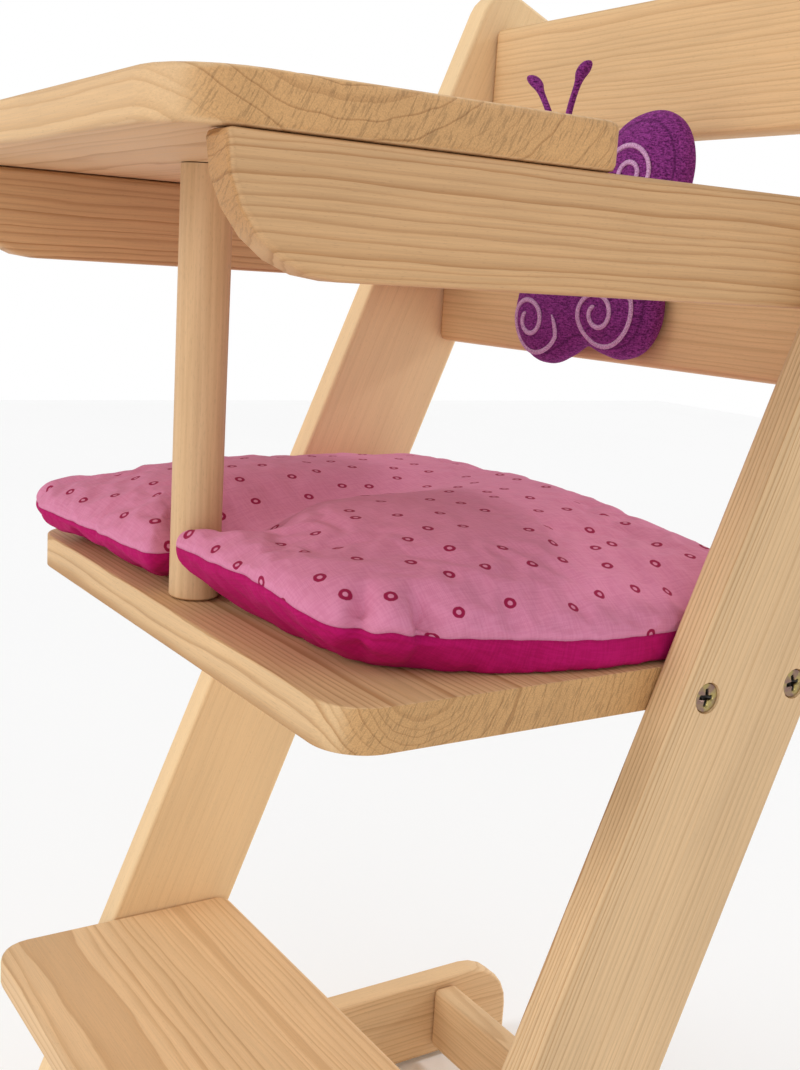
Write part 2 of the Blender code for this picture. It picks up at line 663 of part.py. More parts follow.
def cap_nut(side, sign, inner):
    """Domed cap nut on the bolt's end, inside the arm."""
    name = f"cap_nut_{side}"
    place = aim((sign * (inner - FIT), PIVOT_Y, PIVOT_Z), (-sign, 0, 0))
    bm = turned(((0, 0), (NUT_RADIUS, 0), (NUT_RADIUS, NUT_HEX_HEIGHT), (0, NUT_HEX_HEIGHT)), 6)
    nut = add(name, mesh_from(bm, name), place, "zinc_bright")
    flat = NUT_RADIUS * math.cos(math.pi / 6)
    rise = NUT_HEIGHT - NUT_HEX_HEIGHT
    sunk = NUT_HEX_HEIGHT - FIT
    dome = [(0, sunk), (flat - FIT, sunk)]
    angles = [math.pi / 2 * k / 4 for k in range(5)]
    dome += [((flat - FIT) * math.cos(a), NUT_HEX_HEIGHT + rise * math.sin(a)) for a in angles[:-1]]
    dome += [(0, NUT_HEIGHT)]
    cap = add(name + "_dome", mesh_from(turned(dome), name + "_dome"), place)
    cap.hide_render = True
    cap.display_type = "WIRE"
    joined = nut.modifiers.new("dome", "BOOLEAN")
    joined.operation = "UNION"
    joined.solver = "EXACT"
    joined.object = cap
    depth = BOLT_THREAD_REACH + FIT
    bore = BOLT_RADIUS + FIT
    cut(nut, turned(((0, -OVERRUN), (bore, -OVERRUN), (bore, depth), (0, depth)), place=place))


# Stuffed pieces
def outline_distance(points, loop):
    """Distance of each point from a closed outline, and whether it lies inside."""
    a, b = loop, np.roll(loop, -1, axis=0)
    edge = b - a
    offset = points[:, None, :] - a[None]
    share = np.clip((offset * edge).sum(2) / (edge * edge).sum(1), 0, 1)
    gaps = np.linalg.norm(offset - share[..., None] * edge, axis=2)
    above = (a[None, :, 1] > points[:, None, 1]) != (b[None, :, 1] > points[:, None, 1])
    rise = np.where(edge[:, 1] == 0, 1.0, edge[:, 1])
    crossing = a[:, 0] + (points[:, None, 1] - a[:, 1]) * edge[:, 0] / rise
    inside = (above & (points[:, None, 0] < crossing)).sum(1) % 2 == 1
    return gaps.min(1), inside


def puff(gap, reach):
    """Height share of a stuffed cover at a distance from its seam: round at first, then level."""
    return math.sqrt(1 - (1 - min(gap / reach, 1)) ** 2)


def ramp(distance, reach):
    """Share that eases from none to all over a reach."""
    share = min(max(distance / reach, 0), 1)
    return share * share * (3 - 2 * share)


def shoulder(loop, reach):
    """Row of points at one distance inside a closed outline."""
    along = np.roll(loop, -1, axis=0) - np.roll(loop, 1, axis=0)
    inward = np.stack((-along[:, 1], along[:, 0]), axis=1) / np.linalg.norm(along, axis=1)[:, None]
    row = loop + reach * inward
    gaps, inside = outline_distance(row, loop)
    return row[inside & (gaps > reach - FIT)]


def stuffed(loop, spacing, front, back):
    """Closed pillow on a seam outline, with a height for each side by place and distance from the seam.
    The heights are asked for on the seam too, with no distance."""
    loop = evenly_spaced(loop, spacing)
    low, high = loop.min(0), loop.max(0)
    count = np.ceil((high - low) / spacing).astype(int)
    grid = np.array([(low[0] + (i + 0.5 * (j % 2)) * spacing, low[1] + j * spacing)
                     for j in range(count[1] + 1) for i in range(count[0] + 1)])
    rows = [shoulder(loop, share * spacing) for share in SHOULDER_SHARES]
    gaps, inside = outline_distance(grid, loop)
    grid = np.concatenate((*rows, grid[inside & (gaps > spacing)]))
    gaps = outline_distance(grid, loop)[0]
    rim = len(loop)
    flat = [Vector(p) for p in (*loop, *grid)]
    triangles = delaunay_2d_cdt(flat, [], [list(range(rim))], 1, FIT / 100)[2]
    bm = bmesh.new()
    seam = [bm.verts.new((p.x, p.y, front(p.x, p.y, 0))) for p in flat[:rim]]
    for heights in (front, back):
        cover = [bm.verts.new((p.x, p.y, heights(p.x, p.y, gap))) for p, gap in zip(flat[rim:], gaps)]
        verts = seam + cover
        for corners in triangles:
            bm.faces.new([verts[k] for k in corners])
    return bm


def cushion():
    """Seat cushion with a crown and a slot at the front for the dowel, its right lobe ridden up."""
    half = SPAN / 2 - CUSHION_SIDE_GAP
    left, right = half - LEFT_LOBE_DRAW, half - RIGHT_LOBE_DRAW
    slot = DOWEL_RADIUS + NOTCH_CLEARANCE
    front, rear = Y_SEAT + CUSHION_FRONT_INSET, Y_SEAT + SEAT_DEPTH + CUSHION_REAR_OVERHANG
    slot_end = DOWEL_Y + slot
    skew = CUSHION_SKEW / right
    lip, side, back = CUSHION_LIP_RADIUS, CUSHION_SIDE_RADIUS, CUSHION_REAR_RADIUS
    corners = ((slot, front + skew * slot, lip), (right, front + skew * right, RIGHT_LOBE_RADIUS),
               (half, front + CUSHION_TAPER, side), (half, rear, back), (-half, rear, back),
               (-half, front + CUSHION_TAPER, side), (-left, front - skew * left, LEFT_LOBE_RADIUS),
               (-slot, front - skew * slot, lip), (-slot, slot_end, slot - FIT),
               (slot, slot_end, slot - FIT))
    shares = CUSHION_LOSS_SHARES

    def lift(x, y):
        across = ramp(x + slot, 2 * slot) * (1 - ramp(x - LIFT_START, LIFT_FADE))
        return across * (1 - ramp(y - front, LIFT_DEPTH))

    def seam(x, y):
        fall = CUSHION_SEAM_FALL * ramp(y - front, CUSHION_SEAM_RUN)
        corner = 1 - ramp(math.hypot(x + left, y - front), LEFT_LIFT_REACH)
        return CUSHION_SEAM + RIGHT_LOBE_LIFT * lift(x, y) + LEFT_LOBE_LIFT * corner - fall

    def hollow(x, y):
        behind = y - slot_end
        bend = VALLEY_SHIFT * ramp(behind + VALLEY_HEAD, VALLEY_BEND)
        along = ramp(behind + VALLEY_HEAD, VALLEY_HEAD) * (1 - ramp(behind - VALLEY_START, VALLEY_RUN))
        pinch = 1 - ramp(math.hypot(abs(x) - slot, behind), PINCH_REACH)
        return VALLEY_DEPTH * along * math.exp(-((x - bend) / VALLEY_WIDTH) ** 2) + PINCH_DEPTH * pinch

    def top(x, y, gap):
        sides = 1 - shares["side"] * (x / half) ** 2 - shares["right"] * (max(x, 0) / half) ** 2
        slope = 1 - shares["front"] * (1 - ramp(y - front, CUSHION_RISE))
        return seam(x, y) + (CUSHION_CROWN * sides * slope - hollow(x, y)) * puff(gap, CUSHION_EDGE)

    def under(x, y, gap):
        near = 1 - ramp(y - front - FRONT_UNDER_START, FRONT_UNDER_RUN)
        ridden = ramp(x + slot, 2 * slot) * (1 - ramp(y - front, LIFT_DEPTH))
        reach = SIDE_UNDER + (FRONT_UNDER - SIDE_UNDER) * near + LOBE_UNDER * ridden
        return seam(x, y) * (1 - puff(gap, reach))

    bm = stuffed(rounded(corners), CUSHION_MESH, top, under)
    add("seat_cushion", mesh_from(bm, "seat_cushion", math.pi),
        Matrix.Translation((0, 0, SEAT_TOP + FIT)), "cushion_cloth")


def butterfly():
    """Plush butterfly in front of the lower rail, held on it by a hook-and-loop patch."""
    right = [(u * WING_SPAN / 2, v * WING_HEIGHT - WING_HEIGHT / 2) for u, v in WING_OUTLINE_SHARES]
    left = [(-u, v) for u, v in reversed(right[1:-1])]
    loop = smooth_loop(right + left, 6)
    bm = stuffed(loop, WING_MESH, lambda x, y, gap: WING_FRONT * puff(gap, WING_EDGE),
                 lambda x, y, gap: -WING_BACK * puff(gap, WING_EDGE))
    patch_front = LOWER_RAIL_Y - BOARD / 2 - FIT - PATCH_THICKNESS
    seam_y = patch_front - FIT - WING_BACK
    centre = (WING_SHIFT, seam_y, LOWER_RAIL_Z - WING_DROP + WING_HEIGHT / 2)
    pose = Matrix.Rotation(WING_YAW, 4, "Z") @ Matrix.Rotation(-WING_ROLL, 4, "Y")
    place = Matrix.Translation(centre) @ pose @ UPRIGHT
    wings = add("butterfly_wings", mesh_from(bm, "butterfly_wings", math.pi), place, "plush")
    rest = prism(rectangle(-WING_SPAN, -WING_HEIGHT, WING_SPAN, WING_HEIGHT), WING_BACK)
    bmesh.ops.transform(rest, verts=rest.verts, matrix=Matrix.Translation(
        (0, patch_front - FIT + WING_BACK / 2, centre[2])) @ UPRIGHT)
    cut(wings, rest)
    butterfly_body(place)
    patch(patch_front)


def butterfly_body(place):
    """Tapering body on the front of the wings, and two feelers from its top."""
    top = BODY_TOP_LIFT - WING_HEIGHT / 2
    lift = WING_FRONT + FIT + BODY_RADIUS
    steps = 10
    profile = [(0, 0)]
    for k in range(1, steps):
        share = k / steps
        swell = math.sin(math.pi * share ** 0.8)
        profile.append((BODY_RADIUS * swell ** 0.6, BODY_LENGTH * share))
    profile.append((0, BODY_LENGTH))
    stand = place @ Matrix.Translation((0, top - BODY_LENGTH, lift)) @ Matrix.Rotation(-math.pi / 2, 4, "X")
    body = mesh_from(turned(profile, 12), "butterfly_body", math.pi)
    add("butterfly_body", body, stand, "plush")
    stalk, tip, length = FEELER_RADIUS, FEELER_TIP_RADIUS, FEELER_LENGTH
    rings = [(0, 0), (stalk, 0)] + [(stalk, length * k / 6) for k in range(1, 6)]
    middle = length
    angles = [math.radians(a) for a in (-50, -20, 20, 50)]
    rings += [(tip * math.cos(a), middle + tip * math.sin(a)) for a in angles] + [(0, middle + tip)]
    for side, sign in SIDES:
        feeler = turned(rings, 8)
        for vert in feeler.verts:
            vert.co.x += sign * FEELER_SPREAD * (vert.co.z / length) ** 2 * 2
        name = f"{side}_feeler"
        spot = Matrix.Translation((sign * FEELER_RADIUS * 1.5, top + FIT, lift))
        add(name, mesh_from(feeler, name, math.pi), place @ spot @ Matrix.Rotation(-math.pi / 2, 4, "X"),
            "plush")


def patch(front):
    """Hook-and-loop patch between the lower rail and the wings' flat back."""
    half, radii = PATCH_SIZE / 2, (PATCH_RADIUS,) * 4
    pad = prism(rectangle(-half, -half, half, half, radii), PATCH_THICKNESS)
    centre = (WING_SHIFT, front + PATCH_THICKNESS / 2, LOWER_RAIL_Z + RAIL_HEIGHT / 2)
    add("hook_and_loop_patch", mesh_from(pad, "hook_and_loop_patch"), Matrix.Translation(centre) @ UPRIGHT,
        "hook_and_loop")


def build():
    """Build the whole chair."""
    clear_scene()
    mesh = screw_mesh()
    mesh.materials.clear()
    mesh.materials.append(finish("screw", "zinc_yellow"))
    legs()
    runners(mesh)
    glides()
    seats(mesh)
    back_rails(mesh)
    tray(mesh)
    pivots()
    cushion()
    butterfly()


build()
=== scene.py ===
import json
import math

import bmesh
import bpy
import numpy as np
from mathutils import Matrix, Vector, noise
from mathutils.geometry import delaunay_2d_cdt

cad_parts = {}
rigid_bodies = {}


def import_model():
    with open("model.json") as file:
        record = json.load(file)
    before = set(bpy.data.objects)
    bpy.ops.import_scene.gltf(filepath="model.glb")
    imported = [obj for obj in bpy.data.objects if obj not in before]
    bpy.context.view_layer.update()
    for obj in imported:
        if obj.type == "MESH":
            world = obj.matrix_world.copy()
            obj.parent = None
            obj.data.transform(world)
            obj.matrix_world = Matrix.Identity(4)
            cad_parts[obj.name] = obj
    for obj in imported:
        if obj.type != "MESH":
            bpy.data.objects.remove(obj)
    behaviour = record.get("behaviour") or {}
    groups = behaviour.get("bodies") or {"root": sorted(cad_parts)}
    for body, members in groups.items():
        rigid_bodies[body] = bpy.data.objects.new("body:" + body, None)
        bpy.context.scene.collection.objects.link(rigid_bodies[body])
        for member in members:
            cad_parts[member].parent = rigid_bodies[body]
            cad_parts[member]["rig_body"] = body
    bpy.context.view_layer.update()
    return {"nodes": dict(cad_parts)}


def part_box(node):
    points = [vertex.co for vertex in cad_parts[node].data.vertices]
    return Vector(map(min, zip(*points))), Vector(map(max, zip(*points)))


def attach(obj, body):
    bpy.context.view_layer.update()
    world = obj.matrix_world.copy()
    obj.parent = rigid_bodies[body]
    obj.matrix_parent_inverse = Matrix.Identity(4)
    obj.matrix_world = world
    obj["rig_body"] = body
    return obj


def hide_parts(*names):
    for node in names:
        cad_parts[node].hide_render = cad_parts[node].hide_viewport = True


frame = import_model()
NODES = frame["nodes"]
MM = 0.001

# Photograph's frame and the camera that was solved from its straight edges
PHOTO_HEIGHT = 1070
FOCAL_PIXELS = 1314.6
SENSOR = 36.0
CAMERA_AT = Vector((0.3633, -0.2510, 0.3818))
CAMERA_YAW = math.radians(56.67)
CAMERA_PITCH = math.radians(11.27)
CAMERA_ROLL = math.radians(-3.63)
CAMERA_CLIP = (0.01, 50.0)

# Light: even surroundings and three suns, each with the direction to it, its strength and its width
AMBIENT = 0.66
BACK_SUN = (Vector((0.2, 1.98, 1.0)), 1.45, math.radians(5))
FRONT_SUN = (Vector((-0.35, -1.0, 0.5)), 0.90, math.radians(30))
SIDE_SUN = (Vector((1.0, -0.85, 0.12)), 0.62, math.radians(40))
FLOOR_SIZE = 6.0
FLOOR_GREYS = ((0.93, 0.93, 0.93, 1), (0.95, 0.95, 0.95, 1))

# Meshes copied from the CAD: points this close are joined, faces this flat are merged, edges this sharp stay
WELD = 0.00001
FLAT = math.radians(0.2)
SHARP = math.radians(50)

# Boards. The end share is the rounding of the seat's ends as a share of its front's
LEG_LEAN = math.radians(22.3)
SEAT_CORNER = 0.014
SEAT_FRONT_ARRIS = 0.0028
SEAT_END_SHARE = 0.42
SEAT_ARRIS_STEPS = 4
SEED_STEP = 3.7

# Screw head and its cross recess, whose walls start and end at shares of its half width
HEAD_RADIUS = 0.00405
HEAD_DEPTH = 0.0024
HEAD_DOME = 0.00025
HEAD_RIM = 0.0003
HEAD_RINGS = 26
HEAD_SIDES = 48
SHANK_RADIUS = 0.0015
SCREW_LENGTH = 0.030
POINT_LENGTH = 0.003
RECESS_REACH = 0.0027
RECESS_HALF = 0.00060
RECESS_WALL = (1.25, 0.85)
RECESS_DEPTH = 0.0018

# Turn of each screw's head: a first one, and more for each letter of its name and each metre along the chair
SCREW_TURNS = (math.radians(37), 1.7, 9)

# Cushion in plan: its lobes, its rounded corners and its slot for the dowel
FIT = 0.0003
FRONT_INSET = 0.0013
REAR_OVERHANG = 0.001
LEFT_LOBE_INSET = 0.0026
RIGHT_LOBE_INSET = 0.0167
CUSHION_TAPER = 0.083
CUSHION_SKEW = 0.0084
LEFT_LOBE_RADIUS = 0.018
RIGHT_LOBE_RADIUS = 0.032
SIDE_RADIUS = 0.050
REAR_RADIUS = 0.030
NOTCH_ROOM = 0.0018
LIP_RADIUS = 0.003
LIP_REACH = 0.0022
SLOT_SHARE = 0.88
SEAT_LOW, SEAT_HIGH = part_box("seat_board")
DOWEL_LOW, DOWEL_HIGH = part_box("crotch_dowel")
CUSHION_BASE = SEAT_HIGH.z + FIT
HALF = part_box("seat_cushion")[1].x
FRONT = SEAT_LOW.y + FRONT_INSET
REAR = SEAT_HIGH.y + REAR_OVERHANG
LEFT_LOBE = HALF - LEFT_LOBE_INSET
RIGHT_LOBE = HALF - RIGHT_LOBE_INSET
DOWEL_RADIUS = (DOWEL_HIGH.x - DOWEL_LOW.x) / 2
DOWEL_Y = (DOWEL_HIGH.y + DOWEL_LOW.y) / 2
NOTCH = DOWEL_RADIUS + NOTCH_ROOM
NOTCH_END = DOWEL_Y + NOTCH

# Cushion's seam in height, its fall to the back, and where it turns the right front corner
SEAM = 0.0121
SEAM_FALL = 0.003
SEAM_RUN = 0.083
RIGHT_CORNER = (0.0975, -0.0762)

# Crown over the seam: how far in it rises, less far at that corner, and the shares that it loses outwards
CROWN = 0.022
EDGE = 0.0325
STEEP_REACH = 0.075
STEEP_SHARE = 0.60
RISE = 0.072
FRONT_LOSS = 0.38
SIDE_LOSS = 0.24
RIGHT_LOSS = 0.26

# Valley behind the slot, and the pinch at the slot's inner corners
VALLEY_SHIFT = -0.013
VALLEY_BEND = 0.024
VALLEY_WIDTH = 0.019
VALLEY_DEPTH = 0.012
VALLEY_HEAD = 0.014
VALLEY_START = 0.028
VALLEY_RUN = 0.092
PINCH_DEPTH = 0.0058
PINCH_REACH = 0.023

# Seam lifted at the right lobe, which has ridden up on the dowel, and at the left lobe's corner
LOBE_LIFT = 0.0062
LIFT_START = 0.053
LIFT_FADE = 0.050
LIFT_DEPTH = 0.025
LEFT_LIFT = 0.0027
LEFT_LIFT_REACH = 0.021

# How far in from the seam the underside comes down to the seat
SIDE_UNDER = 0.0035
FRONT_UNDER = 0.030
FRONT_UNDER_START = 0.018
FRONT_UNDER_RUN = 0.040
LOBE_UNDER = 0.018

# Cushion's mesh, blown up as cloth. Shrinking below nought enlarges it, and it moves by the reach at most
CUSHION_MESH = 0.0018
CLOTH_FRAMES = 20
CLOTH_QUALITY = 5
CLOTH_PRESSURE = 3.5
CLOTH_MASS = 0.15
CLOTH_STRETCH = 12
CLOTH_SHEAR = 6
CLOTH_BEND = 0.15
CLOTH_SHRINK = -0.02
CLOTH_REACH = 0.0022

# Gathers beside the seam: pitch, depth and reach, each on the upper and on the under panel
GATHER_PITCHES = (0.0065, 0.0042)
GATHER_DEPTHS = (0.0006, 0.0008)
GATHER_REACHES = (0.0060, 0.0050)
SEAM_WAVER = 0.0005

# Pleats across the seam: place, depth, and width on either side. A depth below nought is a bulge
PLEATS = (((0.0908, -0.0836), 0.0066, 0.0024, 0.0032), ((0.1022, -0.0700), 0.0070, 0.0013, 0.0060),
          (RIGHT_CORNER, -0.0010, 0.0040, 0.0030),
          ((0.0480, -0.0900), 0.0014, 0.0022, 0.0032), ((0.1080, -0.0450), 0.0016, 0.0020, 0.0040),
          ((-0.0950, -0.1100), 0.0018, 0.0030, 0.0022), ((-0.0450, -0.1050), 0.0014, 0.0026, 0.0020),
          ((0.1110, 0.0150), 0.0015, 0.0024, 0.0024), ((-0.1110, -0.0300), 0.0008, 0.0040, 0.0040))
PLEAT_LENGTH = 0.0072

# A pleat's depth on the under panel and at the seam, and how far in it is full, all as shares
PLEAT_UNDER_SHARE = 0.35
PLEAT_SEAM_SHARE = 0.6
PLEAT_RISE_SHARE = 0.3

# Step of the seam between the two large pleats: place, height and width
PLEAT_JOG = (RIGHT_CORNER, 0.0017, 0.0040)

# Butterfly: size and pose of its wings
WING_SPAN = 0.092
WING_HEIGHT = 0.084
WING_FRONT = 0.009
WING_BACK = 0.0080
WING_EDGE = 0.017
WING_MESH = 0.0011
WING_YAW = math.radians(10.0)
WING_ROLL = math.radians(7.3)
WING_SHIFT = -0.0075
WING_DROP = 0.0002

# Outline of the wings' right half, in shares of half the span and of the height
WING_OUTLINE_SHARES = (
    (0.00, 0.066), (0.15, 0.030), (0.34, 0.000), (0.54, 0.030), (0.68, 0.130), (0.71, 0.260),
    (0.62, 0.385), (0.53, 0.450), (0.72, 0.515), (0.92, 0.625), (1.00, 0.770), (0.93, 0.910),
    (0.74, 0.985), (0.47, 0.975), (0.22, 0.890), (0.00, 0.790),
)
WING_CURVE_STEPS = 12

# Seam line inside that outline, painted dark as the shade of its groove, and the tufts of the pile
PANEL_SEAM = 0.0040
TUFT_HEIGHT = 0.00018
TUFT_PITCH = 0.0016

# Spirals stitched on the wings: centre, first radius, first angle, turns, and length of the lead-in in turns
SPIRALS = (((0.011, -0.026), 0.0145, 15, 1.75, 0.12), ((-0.021, -0.026), 0.0135, -30, 1.6, 0.10),
           ((0.026, 0.020), 0.0125, 200, 1.7, 0.0), ((-0.026, 0.020), 0.0125, 160, 1.7, 0.0))
SPIRAL_DRAW = 0.9
LEAD_DRAW = 1.4
SPIRAL_STEPS = 40

# Their stitching, lifted by a share of its height, with ends that start blunt and taper over some steps
STITCH_WIDTH = 0.0009
STITCH_HEIGHT = 0.0006
STITCH_LIFT_SHARE = 0.35
STITCH_SIDES = 8
STITCH_BLUNT = 0.3
STITCH_TAPER = 2.5


# Materials
def srgb(red, green, blue):
    """Linear colour of an sRGB one given from 0 to 255."""
    shares = (red / 255, green / 255, blue / 255)
    return tuple(s / 12.92 if s <= 0.04045 else ((s + 0.055) / 1.055) ** 2.4 for s in shares) + (1.0,)


class Finish:
    """A procedural material, put together a node at a time."""

    def __init__(self, name, roughness=0.6, metallic=0.0):
        self.material = bpy.data.materials.new(name)
        self.material.use_nodes = True
        self.tree = self.material.node_tree
        self.tree.nodes.clear()
        self.shader = self.node("ShaderNodeBsdfPrincipled")
        self.shader.inputs["Roughness"].default_value = roughness
        self.shader.inputs["Metallic"].default_value = metallic
        output = self.node("ShaderNodeOutputMaterial")
        self.tree.links.new(self.shader.outputs[0], output.inputs[0])
        self.place = self.node("ShaderNodeTexCoord")

    def node(self, kind, **settings):
        node = self.tree.nodes.new(kind)
        for key, value in settings.items():
            setattr(node, key, value)
        return node

    def feed(self, socket, value):
        if isinstance(value, bpy.types.NodeSocket):
            self.tree.links.new(value, socket)
        else:
            socket.default_value = value

    def math(self, operation, *values):
        node = self.node("ShaderNodeMath", operation=operation)
        for socket, value in zip(node.inputs, values):
            self.feed(socket, value)
        return node.outputs[0]

    def vector(self, operation, *values):
        node = self.node("ShaderNodeVectorMath", operation=operation)
        for socket, value in zip(node.inputs, values):
            self.feed(socket, value)
        return node.outputs["Value" if operation == "DOT_PRODUCT" else "Vector"]

    def millimetres(self, where=None):
        """The given place, or else the place on the object itself, in millimetres."""
        scaled = self.vector("SCALE", self.place.outputs["Object"] if where is None else where)
        scaled.node.inputs["Scale"].default_value = 1 / MM
        return scaled

    def join(self, x, y, z):
        node = self.node("ShaderNodeCombineXYZ")
        for socket, value in zip(node.inputs, (x, y, z)):
            self.feed(socket, value)
        return node.outputs[0]

    def noise(self, where, scale, detail=2.0, roughness=0.5):
        node = self.node("ShaderNodeTexNoise")
        for key, value in (("Vector", where), ("Scale", scale), ("Detail", detail), ("Roughness", roughness)):
            self.feed(node.inputs[key], value)
        return node.outputs[0]

    def span(self, value, low, high, start=0.0, end=1.0, smooth=True):
        """Value carried from low..high to start..end, held at both ends."""
        node = self.node("ShaderNodeMapRange")
        node.interpolation_type = "SMOOTHSTEP" if smooth else "LINEAR"
        for socket, given in zip(node.inputs, (value, low, high, start, end)):
            self.feed(socket, given)
        return node.outputs[0]

    def ramp(self, share, stops):
        node = self.node("ShaderNodeValToRGB")
        points = node.color_ramp.elements
        while len(points) < len(stops):
            points.new(1.0)
        for point, (position, level) in zip(points, stops):
            point.position = position
            point.color = (level, level, level, 1.0)
        self.feed(node.inputs[0], share)
        return node.outputs[0]

    def mix(self, share, a, b, blend="MIX"):
        node = self.node("ShaderNodeMix", data_type="RGBA", blend_type=blend)
        for socket, value in zip((node.inputs[0], node.inputs[6], node.inputs[7]), (share, a, b)):
            self.feed(socket, value)
        return node.outputs[2]

    def shaded(self, colour, level):
        """Colour multiplied by a level."""
        return self.mix(1.0, colour, self.join(level, level, level), "MULTIPLY")

    def either_way(self, noise, spread):
        """Noise spread about nought."""
        return self.math("MULTIPLY", self.math("SUBTRACT", noise, 0.5), spread)

    def bump(self, height, depth, strength):
        node = self.node("ShaderNodeBump")
        self.feed(node.inputs["Height"], height)
        self.feed(node.inputs["Distance"], depth)
        self.feed(node.inputs["Strength"], strength)
        self.tree.links.new(node.outputs[0], self.shader.inputs["Normal"])

    def give(self, key, value):
        self.feed(self.shader.inputs[key], value)

    def colour(self, value):
        self.give("Base Color", value)


# Pine: colours of its side grain and of its end grain, and how dark the wood is along one year's ring
PINE_EARLY = srgb(228, 192, 147)
PINE_LATE = srgb(176, 127, 76)
PINE_END = srgb(208, 164, 113)
PINE_CUT = srgb(150, 104, 60)
LATEWOOD = ((0.0, 0.12), (0.25, 0.0), (0.60, 0.20), (0.86, 0.90), (0.94, 1.0), (1.0, 0.12))

# Noises in pine: share of the way along the grain, share across it, scale, detail and roughness
DRIFT = (0.16, 1.0, 0.07, 2.0, 0.5)
SHAKE = (0.10, 0.6, 1.0, 1.0, 0.5)
FIBRE = (0.045, 2.6, 1.0, 3.0, 0.6)
FLECK = (0.45, 5.0, 1.0, 1.0, 0.5)
BLOTCH = (0.25, 1.0, 0.035, 2.0, 0.5)

# Rings in pine: how far two of the noises move them in millimetres, and by how many rings they wander
DRIFT_REACH = 7.0
SHAKE_REACH = 0.5
UNEVEN_RINGS = 3.0

# Strength of the faintest year, and of years far from the closest rings, as shares
FAINT_YEAR = 0.40
FAR_SHARE = 0.45

# Radii in millimetres between which the rings come out on the end grain
PITH_RADII = (6.0, 18.0)


def end_grain(f, v, w, late, radius, seed):
    """Colour of pine sawn across the grain: ring lines, saw marks and open cells."""
    lean = f.math("SUBTRACT", v, f.math("MULTIPLY", w, 0.5))
    sawn = f.noise(f.join(f.math("MULTIPLY", lean, 1.5), f.math("MULTIPLY", w, 0.22), seed), 1.0, 3.0, 0.65)
    cells = f.noise(f.join(f.math("MULTIPLY", v, 3.0), f.math("MULTIPLY", w, 3.0), seed), 1.0, 2.0)
    crisp = f.math("MULTIPLY", f.span(late, 0.35, 0.85), f.span(radius, *PITH_RADII, 0.25, 1.0))
    cut = f.mix(f.math("MULTIPLY", crisp, 0.50), PINE_END, PINE_CUT)
    marks = f.math("MULTIPLY", f.span(sawn, 0.36, 0.50, 0.76, 1.04), f.span(cells, 0.3, 0.7, 0.90, 1.07))
    return f.shaded(cut, marks)


def pine(name, centre, grain, across, pith, spacing, contrast, tone, wander, fine, seed):
    """Sawn pine: rings about a pith line that runs with the grain, fine fibres, flecks and end grain.
    Pith and spacing are in millimetres, the pith from the board's centre. tone multiplies the colour. fine
    says where the rings lie closer and darker: extra rings, radius of the closest, reach of their fading."""
    f = Finish(name)
    grain, across = Vector(grain).normalized(), Vector(across).normalized()
    third = grain.cross(across)
    spot = f.vector("SUBTRACT", f.place.outputs["Object"], tuple(centre))
    u, v, w = (f.math("MULTIPLY", f.vector("DOT_PRODUCT", spot, tuple(axis)), 1 / MM)
               for axis in (grain, across, third))

    def grown(along, beside, scale, detail, roughness):
        """Noise drawn out along the grain."""
        where = f.join(f.math("MULTIPLY_ADD", u, along, seed), f.math("MULTIPLY", v, beside),
                       f.math("MULTIPLY", w, beside))
        return f.noise(where, scale, detail, roughness)

    # Distance from the pith, and the rings from it
    dv = f.math("SUBTRACT", v, pith[0])
    dw = f.math("SUBTRACT", w, pith[1])
    radius = f.math("SQRT", f.math("ADD", f.math("MULTIPLY", dv, dv), f.math("MULTIPLY", dw, dw)))
    radius = f.math("ADD", radius, f.either_way(grown(*DRIFT), DRIFT_REACH * wander))
    radius = f.math("ADD", radius, f.either_way(grown(*SHAKE), SHAKE_REACH * wander))
    uneven = f.noise(f.join(f.math("MULTIPLY_ADD", radius, 0.16, seed), 0.0, 0.0), 1.0, 1.0)
    rings = f.math("ADD", f.math("DIVIDE", radius, spacing), f.math("MULTIPLY", uneven, UNEVEN_RINGS))
    clear = contrast
    if fine:
        extra, start, reach = fine
        fade = f.math("EXPONENT", f.math("DIVIDE", f.math("SUBTRACT", start, radius), reach))
        rings = f.math("SUBTRACT", rings, f.math("MULTIPLY", f.math("MINIMUM", fade, 4.0), extra))
        clear = f.span(fade, 0.15, 0.9, FAR_SHARE * contrast, contrast)
    late = f.ramp(f.math("FRACT", rings), LATEWOOD)
    year = f.node("ShaderNodeTexWhiteNoise", noise_dimensions="1D")
    f.feed(year.inputs["W"], f.math("FLOOR", rings))
    late = f.math("MULTIPLY", late, f.span(year.outputs[0], 0, 1, FAINT_YEAR, 1.0, smooth=False))

    # Fibres, flecks and slow changes of shade over side and end grain
    fibre = grown(*FIBRE)
    fleck = f.span(grown(*FLECK), 0.62, 0.76)
    level = f.math("MULTIPLY", f.span(fibre, 0.3, 0.7, 0.98 - 0.09 * contrast, 1.04),
                   f.span(grown(*BLOTCH), 0.3, 0.7, 0.95, 1.04))
    level = f.math("MULTIPLY", level, f.math("SUBTRACT", 1.0, f.math("MULTIPLY", fleck, 0.16)))
    facing = f.vector("DOT_PRODUCT", f.place.outputs["Normal"], tuple(grain))
    end = f.span(f.math("ABSOLUTE", facing), 0.55, 0.85)
    side = f.mix(f.math("MULTIPLY", late, clear), PINE_EARLY, PINE_LATE)
    colour = f.mix(end, side, end_grain(f, v, w, late, radius, seed))
    f.colour(f.mix(1.0, f.shaded(colour, level), (*tone, 1.0), "MULTIPLY"))
    f.give("Roughness", f.span(fibre, 0.3, 0.7, 0.52, 0.68))
    f.give("Specular IOR Level", 0.30)
    f.bump(f.math("ADD", f.math("MULTIPLY", late, 0.4), fibre), 0.00010, 0.35)
    return f.material


